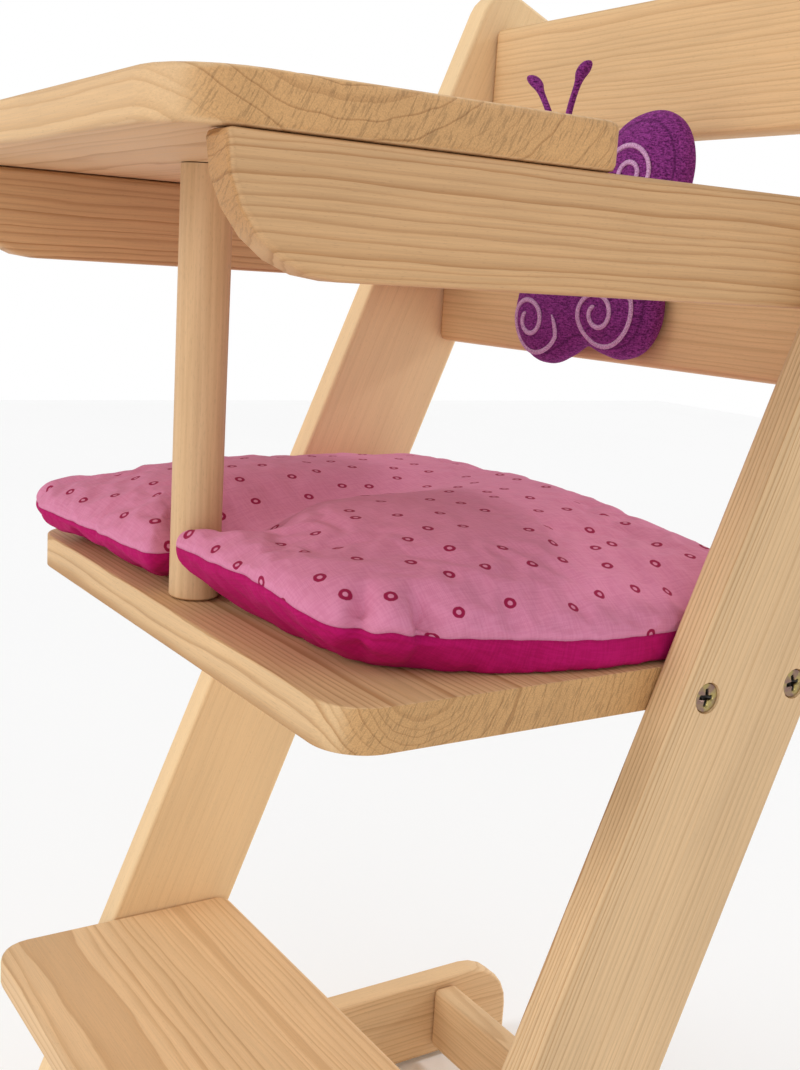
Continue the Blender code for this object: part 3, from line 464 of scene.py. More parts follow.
def dowel_wood():
    """Pale turned beech with fine short flecks along the grain."""
    f = Finish("dowel_wood_grain", 0.55)
    where = f.millimetres()
    fleck = f.noise(f.vector("MULTIPLY", where, (2.6, 2.6, 0.45)), 1.0, 2.0)
    grain = f.noise(f.vector("MULTIPLY", where, (0.7, 0.7, 0.02)), 1.0, 3.0)
    base = f.mix(f.span(grain, 0.3, 0.7), srgb(203, 164, 119), srgb(216, 178, 133))
    level = f.math("SUBTRACT", 1.0, f.math("MULTIPLY", f.span(fleck, 0.55, 0.72), 0.10))
    f.colour(f.shaded(base, level))
    f.bump(f.math("ADD", fleck, grain), 0.00006, 0.35)
    return f.material


def zinc(name, bright, tint, patch=1.0, recess=None):
    """Plated steel, its plating uneven in colour, and in a recess painted dark as shade and dirt from one
    depth to another, in mm.
    """
    f = Finish(name, 0.36, 1.0)
    where = f.millimetres()
    cloud = f.noise(where, 0.35 * patch, 3.0, 0.6)
    plating = f.mix(f.span(cloud, 0.38, 0.62), bright, tint)
    f.colour(plating)
    f.give("Roughness", f.span(cloud, 0.3, 0.7, 0.28, 0.45))
    f.bump(f.noise(where, 6.0, 2.0), 0.00004, 0.25)
    if recess:
        # Painted shade and dirt: the recess darkens to near black with depth, and loses its metal shine
        depth = f.vector("DOT_PRODUCT", f.place.outputs["Object"], (0, 0, -1 / MM))
        recess_shade_and_dirt = f.span(depth, *recess)
        f.colour(f.mix(recess_shade_and_dirt, plating, srgb(34, 28, 22)))
        f.give("Metallic", f.math("SUBTRACT", 1.0, f.math("MULTIPLY", recess_shade_and_dirt, 0.7)))
    return f.material


def felt():
    f = Finish("felt", 0.95)
    where = f.millimetres()
    fuzz = f.noise(where, 2.2, 5.0, 0.7)
    f.colour(f.mix(f.span(fuzz, 0.3, 0.7), srgb(92, 82, 72), srgb(126, 114, 102)))
    f.bump(fuzz, 0.0004, 0.6)
    return f.material


def weave(f, where, threads):
    """Height of a plain weave on a flat place given in millimetres."""
    along = f.math("SINE", f.math("MULTIPLY", f.vector("DOT_PRODUCT", where, (1, 0, 0)), math.tau * threads))
    over = f.math("SINE", f.math("MULTIPLY", f.vector("DOT_PRODUCT", where, (0, 1, 0)), math.tau * threads))
    return f.math("ADD", f.math("MULTIPLY", along, 0.5), f.math("MULTIPLY", over, 0.5))


# Printed rings in millimetres: pitch, radius, half the stroke, softness of its edges, and waver
RING_PITCH = 14.5
RING_RADIUS = 1.2
RING_STROKE = 0.50
RING_SOFTNESS = 0.12
RING_WAVER = 0.25

# How freely they are strewn, and how dense their ink is
RING_FREEDOM = 0.55
RING_INK = 0.97

# Cloth's threads to the millimetre, the painted shade in the crease at the seam, and that crease's width in
# millimetres
THREADS = 2.2
SEAM_SHADE = 0.80
CREASE_WIDTH = 0.10


def cover_cloth(name, ground, shade, ring=None, sheen=0.05):
    """Fine cotton; its print, where it has one, is small rings strewn over it."""
    f = Finish(name, 0.88)
    where = f.millimetres(f.node("ShaderNodeUVMap", uv_map="cloth").outputs[0])
    slub = f.noise(f.vector("MULTIPLY", where, (0.14, 1.6, 0.0)), 1.0, 3.0)
    cross = f.noise(f.vector("MULTIPLY", where, (1.6, 0.14, 0.0)), 1.0, 3.0)
    cloth = f.math("MULTIPLY", f.math("ADD", slub, cross), 0.5)
    colour = f.mix(f.span(cloth, 0.40, 0.60), shade, ground)
    if ring:
        strewn = f.node("ShaderNodeTexVoronoi", voronoi_dimensions="2D", feature="F1")
        f.feed(strewn.inputs["Vector"], where)
        f.feed(strewn.inputs["Scale"], 1 / RING_PITCH)
        f.feed(strewn.inputs["Randomness"], RING_FREEDOM)
        gap = f.math("MULTIPLY", strewn.outputs["Distance"], RING_PITCH)
        off = f.math("ABSOLUTE", f.math("SUBTRACT", gap, RING_RADIUS))
        edge = f.math("ADD", off, f.either_way(f.noise(where, 1.2, 1.0), RING_WAVER))
        ink = f.math("SUBTRACT", 1.0, f.span(edge, RING_STROKE - RING_SOFTNESS, RING_STROKE + RING_SOFTNESS))
        colour = f.mix(f.math("MULTIPLY", ink, RING_INK), colour, ring)
    # Painted shade: the cloth is darkened in a thin line along the seam, where the crease is
    gap = f.node("ShaderNodeAttribute", attribute_name="rim_gap").outputs["Fac"]
    painted_seam_shade = f.span(f.math("ABSOLUTE", f.math("DIVIDE", gap, MM)), 0.0, CREASE_WIDTH, SEAM_SHADE, 1.0)
    f.colour(f.shaded(colour, painted_seam_shade))
    f.give("Sheen Weight", sheen)
    f.give("Specular IOR Level", 0.10)
    f.bump(f.math("ADD", weave(f, where, THREADS), f.math("MULTIPLY", cloth, 1.2)), 0.00004, 0.4)
    return f.material


# Plush: colour of the painted shade in the groove of its seam line, of its pile from dark to light, and of
# its sheen
PLUSH_SEAM_SHADE = srgb(58, 14, 58)
PLUSH_DARK = srgb(70, 14, 68)
PLUSH_LIGHT = srgb(150, 60, 140)
PLUSH_SHEEN = srgb(200, 110, 190)


def plush(name, dark, light, seam=None):
    """Short pile laid in fine rows, with a seam line at one distance inside the outline, painted dark as the
    shade of its groove.
    """
    f = Finish(name, 0.95)
    where = f.millimetres()
    rows = f.noise(f.vector("MULTIPLY", where, (0.7, 0.7, 2.2)), 1.0, 2.0, 0.6)
    tufts = f.noise(where, 1.9, 3.0, 0.7)
    pile = f.math("MULTIPLY", f.math("ADD", rows, tufts), 0.5)
    colour = f.mix(f.span(pile, 0.36, 0.64), dark, light)
    if seam:
        # Painted shade: a dark line along the seam stands for the shade in its groove, with the pile's bump
        # flattened there
        gap = f.node("ShaderNodeAttribute", attribute_name="rim_gap").outputs["Fac"]
        off = f.math("DIVIDE", f.math("ABSOLUTE", f.math("SUBTRACT", gap, seam)), MM)
        line = f.span(f.math("ADD", off, f.math("MULTIPLY", tufts, 0.3)), 0.25, 0.75, 0.45, 1.0)
        colour = f.mix(line, PLUSH_SEAM_SHADE, colour)
        pile = f.math("MULTIPLY", pile, f.span(line, 0, 1, 0.5, 1.0))
    f.colour(colour)
    f.give("Sheen Weight", 0.35)
    f.give("Sheen Tint", PLUSH_SHEEN)
    f.give("Specular IOR Level", 0.15)
    f.bump(pile, 0.0006, 0.8)
    return f.material


# Objects
def placed(name, data):
    """New object in the scene."""
    thing = bpy.data.objects.new(name, data)
    bpy.context.scene.collection.objects.link(thing)
    return thing


def meshed(bm, name):
    """The edited mesh as one of Blender's own."""
    mesh = bpy.data.meshes.new(name)
    bm.to_mesh(mesh)
    bm.free()
    return mesh


def subdivided(thing):
    """Rounds off the thing's facets, once over."""
    rounder = thing.modifiers.new("rounder", "SUBSURF")
    rounder.levels = rounder.render_levels = 1


def put(obj, body, slot, *nodes):
    """Own piece that stands for CAD nodes."""
    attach(obj, body)
    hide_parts(*nodes)


def link(name, mesh, material):
    mesh.materials.clear()
    mesh.materials.append(material)
    mesh.polygons.foreach_set("use_smooth", [True] * len(mesh.polygons))
    return placed(name, mesh)


def copied(node, name, material, sharp=SHARP):
    """Clean copy of a CAD node's mesh, its round edges shaded round."""
    bm = bmesh.new()
    bm.from_mesh(NODES[node].data)
    bmesh.ops.remove_doubles(bm, verts=bm.verts, dist=WELD)
    bmesh.ops.dissolve_limit(bm, angle_limit=FLAT, verts=bm.verts, edges=bm.edges)
    for edge in bm.edges:
        edge.smooth = not (len(edge.link_faces) == 2 and edge.calc_face_angle() > sharp)
    mesh = meshed(bm, name)
    if "custom_normal" in mesh.attributes:
        mesh.attributes.remove(mesh.attributes["custom_normal"])
    return link(name, mesh, material)


def refined(node, material, slot):
    """The node's clean copy in its place, lit by its large faces."""
    thing = copied(node, node + "_fine", material)
    thing.modifiers.new("even_light", "WEIGHTED_NORMAL").keep_sharp = True
    put(thing, NODES[node]["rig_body"], slot, node)


def centre_of(node):
    low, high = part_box(node)
    return (low + high) / 2


# Boards: directions of their grain and width
X, Y, Z = Vector((1, 0, 0)), Vector((0, 1, 0)), Vector((0, 0, 1))
LEG_LINE = Vector((0, math.sin(LEG_LEAN), math.cos(LEG_LEAN)))
LEG_ACROSS = Vector((0, math.cos(LEG_LEAN), -math.sin(LEG_LEAN)))

# Each board's grain, width, pith from its centre, ring spacing, contrast, tone, wander and closer rings
BOARDS = {
    "right_leg": (LEG_LINE, LEG_ACROSS, (-53, 28), 2.4, 0.85, (0.93, 0.93, 0.93), 0.4, (8.0, 44.0, 14.0)),
    # Left leg's tone raised as painted light, for light that its inner face does not get from the lamps
    "left_leg": (LEG_LINE, LEG_ACROSS, (-70, 20), 4.6, 0.12, (1.09, 1.14, 1.15), 0.8, None),
    "left_runner": (Y, Z, (-60, 12), 2.6, 0.50, (0.98, 0.96, 0.94), 0.8, None),
    "right_runner": (Y, Z, (-55, -10), 2.4, 0.52, (0.98, 0.96, 0.94), 0.8, None),
    "rear_stretcher": (X, Z, (-48, 14), 2.2, 0.45, (0.96, 0.94, 0.92), 0.8, None),
    "footrest_board": (X, Y, (-30, 40), 2.8, 0.55, (0.97, 0.95, 0.93), 0.6, None),
    "seat_board": (X, Y, (-58, 13), 2.1, 0.80, (0.92, 0.89, 0.84), 0.6, None),
    "lower_back_rail": (X, Z, (-70, 12), 2.0, 0.42, (0.90, 0.87, 0.77), 0.7, None),
    "upper_back_rail": (X, Z, (60, 10), 2.2, 0.42, (0.94, 0.91, 0.84), 0.7, None),
    # Tray arms' tones lowered partly as painted shade on their outer faces, partly for a darker wood
    "left_tray_arm": (Y, Z, (-45, 8), 2.5, 0.75, (0.84, 0.75, 0.67), 0.7, None),
    "right_tray_arm": (Y, Z, (48, -8), 2.4, 0.75, (0.82, 0.73, 0.65), 0.7, None),
    "tray_board": (X, Y, (-20, 46), 2.9, 0.55, (0.95, 0.91, 0.86), 0.6, None),
}


def seat_board(wood):
    """Seat with its front corners rounded in plan, its front arrises rounder than those of its ends."""
    low, high = SEAT_LOW, SEAT_HIGH
    outline = rounded(((low.x, low.y, SEAT_CORNER), (high.x, low.y, SEAT_CORNER), (high.x, high.y, FIT),
                       (low.x, high.y, FIT)))
    bm = bmesh.new()
    weight = bm.edges.layers.float.new("bevel_weight_edge")
    face = bm.faces.new([bm.verts.new((p.x, p.y, low.z)) for p in outline])
    raised = bmesh.ops.extrude_face_region(bm, geom=[face])["geom"]
    for vert in raised:
        if isinstance(vert, bmesh.types.BMVert):
            vert.co.z = high.z
    bmesh.ops.recalc_face_normals(bm, faces=bm.faces)
    for edge in bm.edges:
        walls = [face for face in edge.link_faces if abs(face.normal.z) < 0.5]
        if len(walls) == 1:
            front = max(0.0, -walls[0].normal.y)
            edge[weight] = SEAT_END_SHARE + (1 - SEAT_END_SHARE) * front ** 2
    seat = link("seat_board_fine", meshed(bm, "seat_board_fine"), wood)
    arris = seat.modifiers.new("arris", "BEVEL")
    arris.limit_method = "WEIGHT"
    arris.width = SEAT_FRONT_ARRIS
    arris.segments = SEAT_ARRIS_STEPS
    seat.modifiers.new("even_light", "WEIGHTED_NORMAL").keep_sharp = True
    put(seat, "frame", "pine", "seat_board")


def boards():
    for index, (node, grown) in enumerate(BOARDS.items()):
        wood = pine(node + "_pine", centre_of(node), *grown, SEED_STEP * index)
        if node == "seat_board":
            seat_board(wood)
        else:
            refined(node, wood, "pine")


def fittings():
    beech, pad = dowel_wood(), felt()
    plated = zinc("bright_zinc", srgb(196, 198, 200), srgb(176, 180, 186))
    for node in list(NODES):
        if node == "crotch_dowel" or node.startswith("joint_pin"):
            refined(node, beech, "dowel_wood")
        elif node.startswith("glide"):
            refined(node, pad, "felt")
        elif node.startswith(("cap_nut", "pivot_")):
            refined(node, plated, "zinc_bright")


# Screws
def screw_mesh(material):
    """Countersunk screw about its own Z axis, its head's face at the origin and facing up."""
    bm = bmesh.new()
    lip, foot = (RECESS_HALF * share for share in RECESS_WALL)

    def level(x, y):
        """Height of the head's face, with the cross let into it."""
        reach = math.hypot(x, y)
        slope = RECESS_DEPTH * max(0.0, 1 - (reach / RECESS_REACH) ** 3)
        wall = min(1.0, max(0.0, (lip - min(abs(x), abs(y))) / (lip - foot)))
        return -HEAD_DOME * (reach / HEAD_RADIUS) ** 2 - slope * wall

    profile = [(HEAD_RADIUS * k / HEAD_RINGS, None) for k in range(1, HEAD_RINGS + 1)]
    profile += [(HEAD_RADIUS, -HEAD_DOME - HEAD_RIM), (SHANK_RADIUS, -HEAD_DEPTH - HEAD_DOME),
                (SHANK_RADIUS, POINT_LENGTH - SCREW_LENGTH)]
    rows = []
    for radius, height in profile:
        row = []
        for k in range(HEAD_SIDES):
            angle = math.tau * k / HEAD_SIDES
            x, y = radius * math.cos(angle), radius * math.sin(angle)
            row.append(bm.verts.new((x, y, level(x, y) if height is None else height)))
        rows.append(row)
    top = bm.verts.new((0, 0, level(0, 0)))
    tip = bm.verts.new((0, 0, -SCREW_LENGTH))
    for k in range(HEAD_SIDES):
        nxt = (k + 1) % HEAD_SIDES
        bm.faces.new((top, rows[0][k], rows[0][nxt]))
        for near, far in zip(rows, rows[1:]):
            bm.faces.new((near[k], far[k], far[nxt], near[nxt]))
        bm.faces.new((rows[-1][nxt], rows[-1][k], tip))
    mesh = meshed(bm, "screw")
    mesh.polygons.foreach_set("use_smooth", [True] * len(mesh.polygons))
    mesh.materials.append(material)
    return mesh


def head_is_low(node):
    """Whether an upright screw's head, its widest part, is at its lower end."""
    middle = centre_of(node)
    points = [v.co for v in NODES[node].data.vertices]
    reaches = [math.hypot(p.x - middle.x, p.y - middle.y) for p in points]
    heads = [p.z for p, reach in zip(points, reaches) if reach > 0.95 * max(reaches)]
    return sum(heads) / len(heads) < middle.z


def screws():
    """All screws, each with its head where the CAD has it: at the outer side of a leg, or upright."""
    mesh = screw_mesh(zinc("yellow_zinc", srgb(176, 158, 100), srgb(146, 118, 108), 0.6, (0.35, 0.75)))
    first, per_letter, per_metre = SCREW_TURNS
    for node in [n for n in NODES if "screw" in n]:
        low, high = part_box(node)
        at = centre_of(node)
        spin = Matrix.Rotation(first + per_letter * len(node) + per_metre * at.y, 4, "Z")
        if high.z - low.z < high.x - low.x:
            sign = 1 if at.x > 0 else -1
            turn = Matrix.Rotation(sign * math.pi / 2, 4, "Y")
            at.x = high.x if sign > 0 else low.x
        elif head_is_low(node):
            turn = Matrix.Rotation(math.pi, 4, "X")
            at.z = low.z
        else:
            turn = Matrix()
            at.z = high.z
        thing = placed(node + "_fine", mesh)
        thing.matrix_world = Matrix.Translation(at) @ turn @ spin
        put(thing, NODES[node]["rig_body"], "zinc_yellow", node)


# Stuffed covers
ARC_STEP = math.radians(5)

# Rows of points beside the seam, and the room that they and the grid keep, in shares of the mesh's spacing
RIM_ROW_SHARES = (0.12, 0.4, 0.75)
RIM_ROW_CLEAR = 0.9
GRID_CLEAR = 1.2


def rounded(corners):
    """Outline through (x, y, radius) corners, each one rounded by its radius."""
    points = []
    for i, (u, v, radius) in enumerate(corners):
        here = Vector((u, v))
        back = (Vector(corners[i - 1][:2]) - here).normalized()
        ahead = (Vector(corners[(i + 1) % len(corners)][:2]) - here).normalized()
        half = back.angle(ahead) / 2
        centre = here + (back + ahead).normalized() * (radius / math.sin(half))
        start = here + back * (radius / math.tan(half)) - centre
        turn = math.pi - 2 * half
        sign = 1 if back.x * ahead.y - back.y * ahead.x < 0 else -1
        steps = max(2, round(turn / ARC_STEP))
        first = math.atan2(start.y, start.x)
        for k in range(steps + 1):
            angle = first + sign * turn * k / steps
            points.append(centre + radius * Vector((math.cos(angle), math.sin(angle))))
    return points


def smooth_loop(points, steps):
    """Closed smooth curve through the points."""
    loop = []
    count = len(points)
    for i in range(count):
        p0, p1, p2, p3 = (Vector(points[(i + k) % count]) for k in (-1, 0, 1, 2))
        for k in range(steps):
            t = k / steps
            loop.append(0.5 * (2 * p1 + (p2 - p0) * t + (2 * p0 - 5 * p1 + 4 * p2 - p3) * t ** 2
                               + (3 * p1 - 3 * p2 + p3 - p0) * t ** 3))
    return loop


def evenly_spaced(loop, spacing):
    """The same closed outline with its points about one spacing apart."""
    closed = np.array([tuple(p) for p in loop] + [tuple(loop[0])])
    reach = np.concatenate(([0.0], np.cumsum(np.linalg.norm(np.diff(closed, axis=0), axis=1))))
    stops = np.linspace(0.0, reach[-1], round(reach[-1] / spacing) + 1)[:-1]
    return np.stack([np.interp(stops, reach, closed[:, k]) for k in (0, 1)], axis=1)


def nearest(points, loop):
    """Distance of each point from a closed outline, whether it lies inside, and the nearest place on it."""
    a, b = loop, np.roll(loop, -1, axis=0)
    edge = b - a
    offset = points[:, None, :] - a[None]
    share = np.clip((offset * edge).sum(2) / (edge * edge).sum(1), 0, 1)
    gaps = np.linalg.norm(offset - share[..., None] * edge, axis=2)
    above = (a[None, :, 1] > points[:, None, 1]) != (b[None, :, 1] > points[:, None, 1])
    rise = np.where(edge[:, 1] == 0, 1.0, edge[:, 1])
    crossing = a[:, 0] + (points[:, None, 1] - a[:, 1]) * edge[:, 0] / rise
    inside = (above & (points[:, None, 0] < crossing)).sum(1) % 2 == 1
    at = gaps.argmin(1)
    rows = np.arange(len(points))
    place = a[at] + share[rows, at][:, None] * edge[at]
    return gaps[rows, at], inside, place


def puff(gap, reach):
    """Height share of a stuffed cover at a distance from its seam."""
    return math.sqrt(1 - (1 - min(gap / reach, 1)) ** 2)


def ramp(distance, reach):
    """Share that eases from none to all over a reach."""
    share = min(max(distance / reach, 0), 1)
    return share * share * (3 - 2 * share)


def stuffed(name, loop, spacing, front, back, materials):
    """Closed cover of two panels sewn at a seam outline. front and back give their heights by place and
    distance from the seam. The mesh keeps that distance, below nought on the back panel."""
    loop = evenly_spaced(loop, spacing)
    low, high = loop.min(0), loop.max(0)
    rise = spacing * math.sin(math.radians(60))
    count = np.ceil((high - low) / (spacing, rise)).astype(int)
    grid = np.array([(low[0] + (i + 0.5 * (j % 2)) * spacing, low[1] + j * rise)
                     for j in range(count[1] + 1) for i in range(count[0] + 1)])
    along = np.roll(loop, -1, axis=0) - np.roll(loop, 1, axis=0)
    inward = np.stack((-along[:, 1], along[:, 0]), axis=1) / np.linalg.norm(along, axis=1)[:, None]
    rows = []
    for share in RIM_ROW_SHARES:
        row = loop + share * spacing * inward
        gaps, inside, _ = nearest(row, loop)
        rows.append(row[inside & (gaps > share * spacing * RIM_ROW_CLEAR)])
    gaps, inside, _ = nearest(grid, loop)
    grid = np.concatenate((*rows, grid[inside & (gaps > GRID_CLEAR * spacing)]))
    gaps = nearest(grid, loop)[0]
    rim = len(loop)
    flat = [Vector(p) for p in (*loop, *grid)]
    triangles = delaunay_2d_cdt(flat, [], [list(range(rim))], 1, 1e-6)[2]
    bm = bmesh.new()
    rim_gap = bm.verts.layers.float.new("rim_gap")
    seam = [bm.verts.new((p.x, p.y, front(p.x, p.y, 0))) for p in flat[:rim]]
    for panel, heights in enumerate((front, back)):
        cover = []
        for p, gap in zip(flat[rim:], gaps):
            vert = bm.verts.new((p.x, p.y, heights(p.x, p.y, gap)))
            vert[rim_gap] = gap if panel == 0 else -gap
            cover.append(vert)
        verts = seam + cover
        for corners in triangles:
            face = bm.faces.new([verts[k] for k in (corners if panel == 0 else reversed(corners))])
            face.material_index = panel
            face.smooth = True
    for edge in bm.edges:
        edge.seam = len({face.material_index for face in edge.link_faces}) > 1
    mesh = meshed(bm, name)
    for material in materials:
        mesh.materials.append(material)
    return placed(name, mesh)


def lay_flat(thing):
    """UV map "cloth": each panel unwrapped to its real size in metres and turned as it lies in plan."""
    mesh = thing.data
    mesh.uv_layers.new(name="cloth")
    bpy.context.view_layer.objects.active = thing
    thing.select_set(True)
    bpy.ops.object.mode_set(mode="EDIT")
    bpy.ops.mesh.select_all(action="SELECT")
    bpy.ops.uv.unwrap(method="ANGLE_BASED", margin=0.01)
    bpy.ops.object.mode_set(mode="OBJECT")
    thing.select_set(False)
    uv = mesh.uv_layers["cloth"]
    flat = np.zeros(len(mesh.loops) * 2)
    uv.data.foreach_get("uv", flat)
    flat = flat.reshape(-1, 3, 2)
    corners = np.zeros(len(mesh.loops), int)
    mesh.loops.foreach_get("vertex_index", corners)
    places = positions(mesh)[corners].reshape(-1, 3, 3)
    panels = np.zeros(len(mesh.polygons), int)
    mesh.polygons.foreach_get("material_index", panels)
    for panel in (0, 1):
        here = panels == panel
        cloth, plan = flat[here], places[here]
        sides, edges = np.diff(plan, axis=1), np.diff(cloth, axis=1)
        area = np.linalg.norm(np.cross(sides[:, 0], sides[:, 1]), axis=1).sum()
        spread = np.abs(edges[:, 0, 0] * edges[:, 1, 1] - edges[:, 0, 1] * edges[:, 1, 0]).sum()
        centre = plan[..., :2].reshape(-1, 2).mean(0)
        middle = cloth.reshape(-1, 2).mean(0)
        tie = (cloth.reshape(-1, 2) - middle).T @ (plan[..., :2].reshape(-1, 2) - centre)
        u, _, v = np.linalg.svd(tie)
        flat[here] = (cloth - middle) @ (u @ v) * math.sqrt(area / spread) + centre
    uv.data.foreach_set("uv", flat.ravel())


def positions(mesh):
    places = np.zeros(len(mesh.vertices) * 3)
    mesh.vertices.foreach_get("co", places)
    return places.reshape(-1, 3)


def rim_gaps(mesh):
    """Distance of each point from the seam, below nought on the back panel."""
    gaps = np.zeros(len(mesh.vertices))
    mesh.attributes["rim_gap"].data.foreach_get("value", gaps)
    return gaps


def settle(thing):
    """Blows the cover up as cloth that is a little too large for its seam, and keeps the folds."""
    mesh = thing.data
    before = positions(mesh)
    held = thing.vertex_groups.new(name="held")
    held.add([int(k) for k in np.nonzero(rim_gaps(mesh) == 0)[0]], 1.0, "REPLACE")
    cloth = thing.modifiers.new("cloth", "CLOTH")
    settings = cloth.settings
    settings.quality = CLOTH_QUALITY
    settings.mass = CLOTH_MASS
    settings.tension_stiffness = settings.compression_stiffness = CLOTH_STRETCH
    settings.shear_stiffness = CLOTH_SHEAR
    settings.bending_stiffness = CLOTH_BEND
    settings.use_pressure = True
    settings.uniform_pressure_force = CLOTH_PRESSURE
    settings.effector_weights.gravity = 0
    settings.vertex_group_mass = "held"
    settings.shrink_min = CLOTH_SHRINK
    cloth.collision_settings.use_collision = False
    cloth.point_cache.frame_start, cloth.point_cache.frame_end = 1, CLOTH_FRAMES
    scene = bpy.context.scene
    for frame_number in range(1, CLOTH_FRAMES + 1):
        scene.frame_set(frame_number)
    shown = thing.evaluated_get(bpy.context.evaluated_depsgraph_get())
    after = positions(shown.data)
    thing.modifiers.remove(cloth)
    scene.frame_set(1)
    thing.vertex_groups.clear()
    moved = after - before
    length = np.linalg.norm(moved, axis=1)
    moved *= (np.minimum(length, CLOTH_REACH) / np.maximum(length, 1e-9))[:, None]
    mesh.vertices.foreach_set("co", (before + moved).ravel())
    mesh.update()


def gathered(thing, loop):
    """Sinks the cover between its gathers and into its pleats, square to its surface."""
    mesh = thing.data
    places = positions(mesh)
    normals = np.zeros(len(places) * 3)
    mesh.vertices.foreach_get("normal", normals)
    below = rim_gaps(mesh) < 0
    outline = evenly_spaced(loop, CUSHION_MESH)
    gaps, _, nearby = nearest(places[:, :2], outline)
    depths = np.zeros(len(places))
    for panel, here in enumerate((~below, below)):
        share = gaps[here] / GATHER_REACHES[panel]
        ripple = [noise.noise(Vector((*place, 5 * panel)) / GATHER_PITCHES[panel]) for place in nearby[here]]
        depths[here] = GATHER_DEPTHS[panel] * np.array(ripple) * share * np.exp(1 - share)
    reach = np.exp(-(gaps / PLEAT_LENGTH) ** 2)
    rise = np.minimum(1, gaps / (PLEAT_RISE_SHARE * PLEAT_LENGTH))
    full = np.where(below, PLEAT_UNDER_SHARE, PLEAT_SEAM_SHARE + (1 - PLEAT_SEAM_SHARE) * rise)
    for given, depth, before, after in PLEATS:
        at = nearest(np.array([given]), outline)[2][0]
        k = np.linalg.norm(outline - at, axis=1).argmin()
        ahead = (nearby - at) @ (outline[(k + 1) % len(outline)] - outline[k - 1]) > 0
        beside = np.linalg.norm(nearby - at, axis=1) / np.where(ahead, after, before)
        depths += depth * full * reach * np.exp(-beside ** 2)
    places -= normals.reshape(-1, 3) * depths[:, None]
    mesh.vertices.foreach_set("co", places.ravel())


def kept_clear(thing):
    """Keeps the cover above the seat, between the legs and off the dowel."""
    places = positions(thing.data)
    places[:, 2] = np.maximum(places[:, 2], CUSHION_BASE)
    places[:, 0] = np.clip(places[:, 0], -HALF - FIT, HALF + FIT)
    away = places[:, :2] - (0, DOWEL_Y)
    reach = np.maximum(np.linalg.norm(away, axis=1), FIT)
    clear = np.maximum(reach, DOWEL_RADIUS + 2 * FIT)
    places[:, :2] = away * (clear / reach)[:, None] + (0, DOWEL_Y)
    thing.data.vertices.foreach_set("co", places.ravel())


def cushion():
    """Seat cushion with a slot at the front for the dowel, its right lobe ridden up."""
    skew = CUSHION_SKEW / RIGHT_LOBE
    lip = NOTCH - LIP_REACH
    corners = ((lip, FRONT + skew * lip, LIP_RADIUS),
               (RIGHT_LOBE, FRONT + skew * RIGHT_LOBE, RIGHT_LOBE_RADIUS),
               (HALF, FRONT + CUSHION_TAPER, SIDE_RADIUS), (HALF, REAR, REAR_RADIUS),
               (-HALF, REAR, REAR_RADIUS), (-HALF, FRONT + CUSHION_TAPER, SIDE_RADIUS),
               (-LEFT_LOBE, FRONT - skew * LEFT_LOBE, LEFT_LOBE_RADIUS),
               (-lip, FRONT - skew * lip, LIP_RADIUS), (-NOTCH, NOTCH_END, SLOT_SHARE * NOTCH),
               (NOTCH, NOTCH_END, SLOT_SHARE * NOTCH))
    outline = rounded(corners)

    def lift(x, y):
        across = ramp(x + NOTCH, 2 * NOTCH) * (1 - ramp(x - LIFT_START, LIFT_FADE))
        return across * (1 - ramp(y - FRONT, LIFT_DEPTH))

    def seam(x, y):
        fall = SEAM_FALL * ramp(y - FRONT, SEAM_RUN)
        corner = 1 - ramp(math.hypot(x + LEFT_LOBE, y - FRONT), LEFT_LIFT_REACH)
        waver = SEAM_WAVER * noise.noise(Vector((x, y, 0)) / GATHER_PITCHES[0])
        at, rise, width = PLEAT_JOG
        jog = rise * math.exp(-(math.dist((x, y), at) / width) ** 2)
        return SEAM + LOBE_LIFT * lift(x, y) + LEFT_LIFT * corner - fall + waver + jog

    def hollow(x, y):
        behind = y - NOTCH_END
        bend = VALLEY_SHIFT * ramp(behind + VALLEY_HEAD, VALLEY_BEND)
        along = ramp(behind + VALLEY_HEAD, VALLEY_HEAD) * (1 - ramp(behind - VALLEY_START, VALLEY_RUN))
        pinch = 1 - ramp(math.hypot(abs(x) - NOTCH, behind), PINCH_REACH)
        return VALLEY_DEPTH * along * math.exp(-((x - bend) / VALLEY_WIDTH) ** 2) + PINCH_DEPTH * pinch

    def top(x, y, gap):
        sides = 1 - SIDE_LOSS * (x / HALF) ** 2 - RIGHT_LOSS * (max(x, 0) / HALF) ** 2
        slope = 1 - FRONT_LOSS * (1 - ramp(y - FRONT, RISE))
        steep = STEEP_SHARE * (1 - ramp(math.dist((x, y), RIGHT_CORNER), STEEP_REACH))
        return seam(x, y) + (CROWN * sides * slope - hollow(x, y)) * puff(gap, EDGE * (1 - steep))

    def under(x, y, gap):
        near = 1 - ramp(y - FRONT - FRONT_UNDER_START, FRONT_UNDER_RUN)
        ridden = ramp(x + NOTCH, 2 * NOTCH) * (1 - ramp(y - FRONT, LIFT_DEPTH))
        reach = SIDE_UNDER + (FRONT_UNDER - SIDE_UNDER) * near + LOBE_UNDER * ridden
        return seam(x, y) * (1 - puff(gap, reach))

    printed = cover_cloth("printed_cotton", srgb(214, 135, 166), srgb(207, 126, 157), srgb(146, 10, 62))
    plain = cover_cloth("magenta_cotton", srgb(180, 20, 98), srgb(168, 16, 88), sheen=0.01)
    thing = stuffed("seat_cushion_cover", outline, CUSHION_MESH, top, under, (printed, plain))
    thing.data.transform(Matrix.Translation((0, 0, CUSHION_BASE)))
    lay_flat(thing)
    settle(thing)
    gathered(thing, outline)
    kept_clear(thing)
    subdivided(thing)
    put(thing, "frame", "cushion_cloth", "seat_cushion")


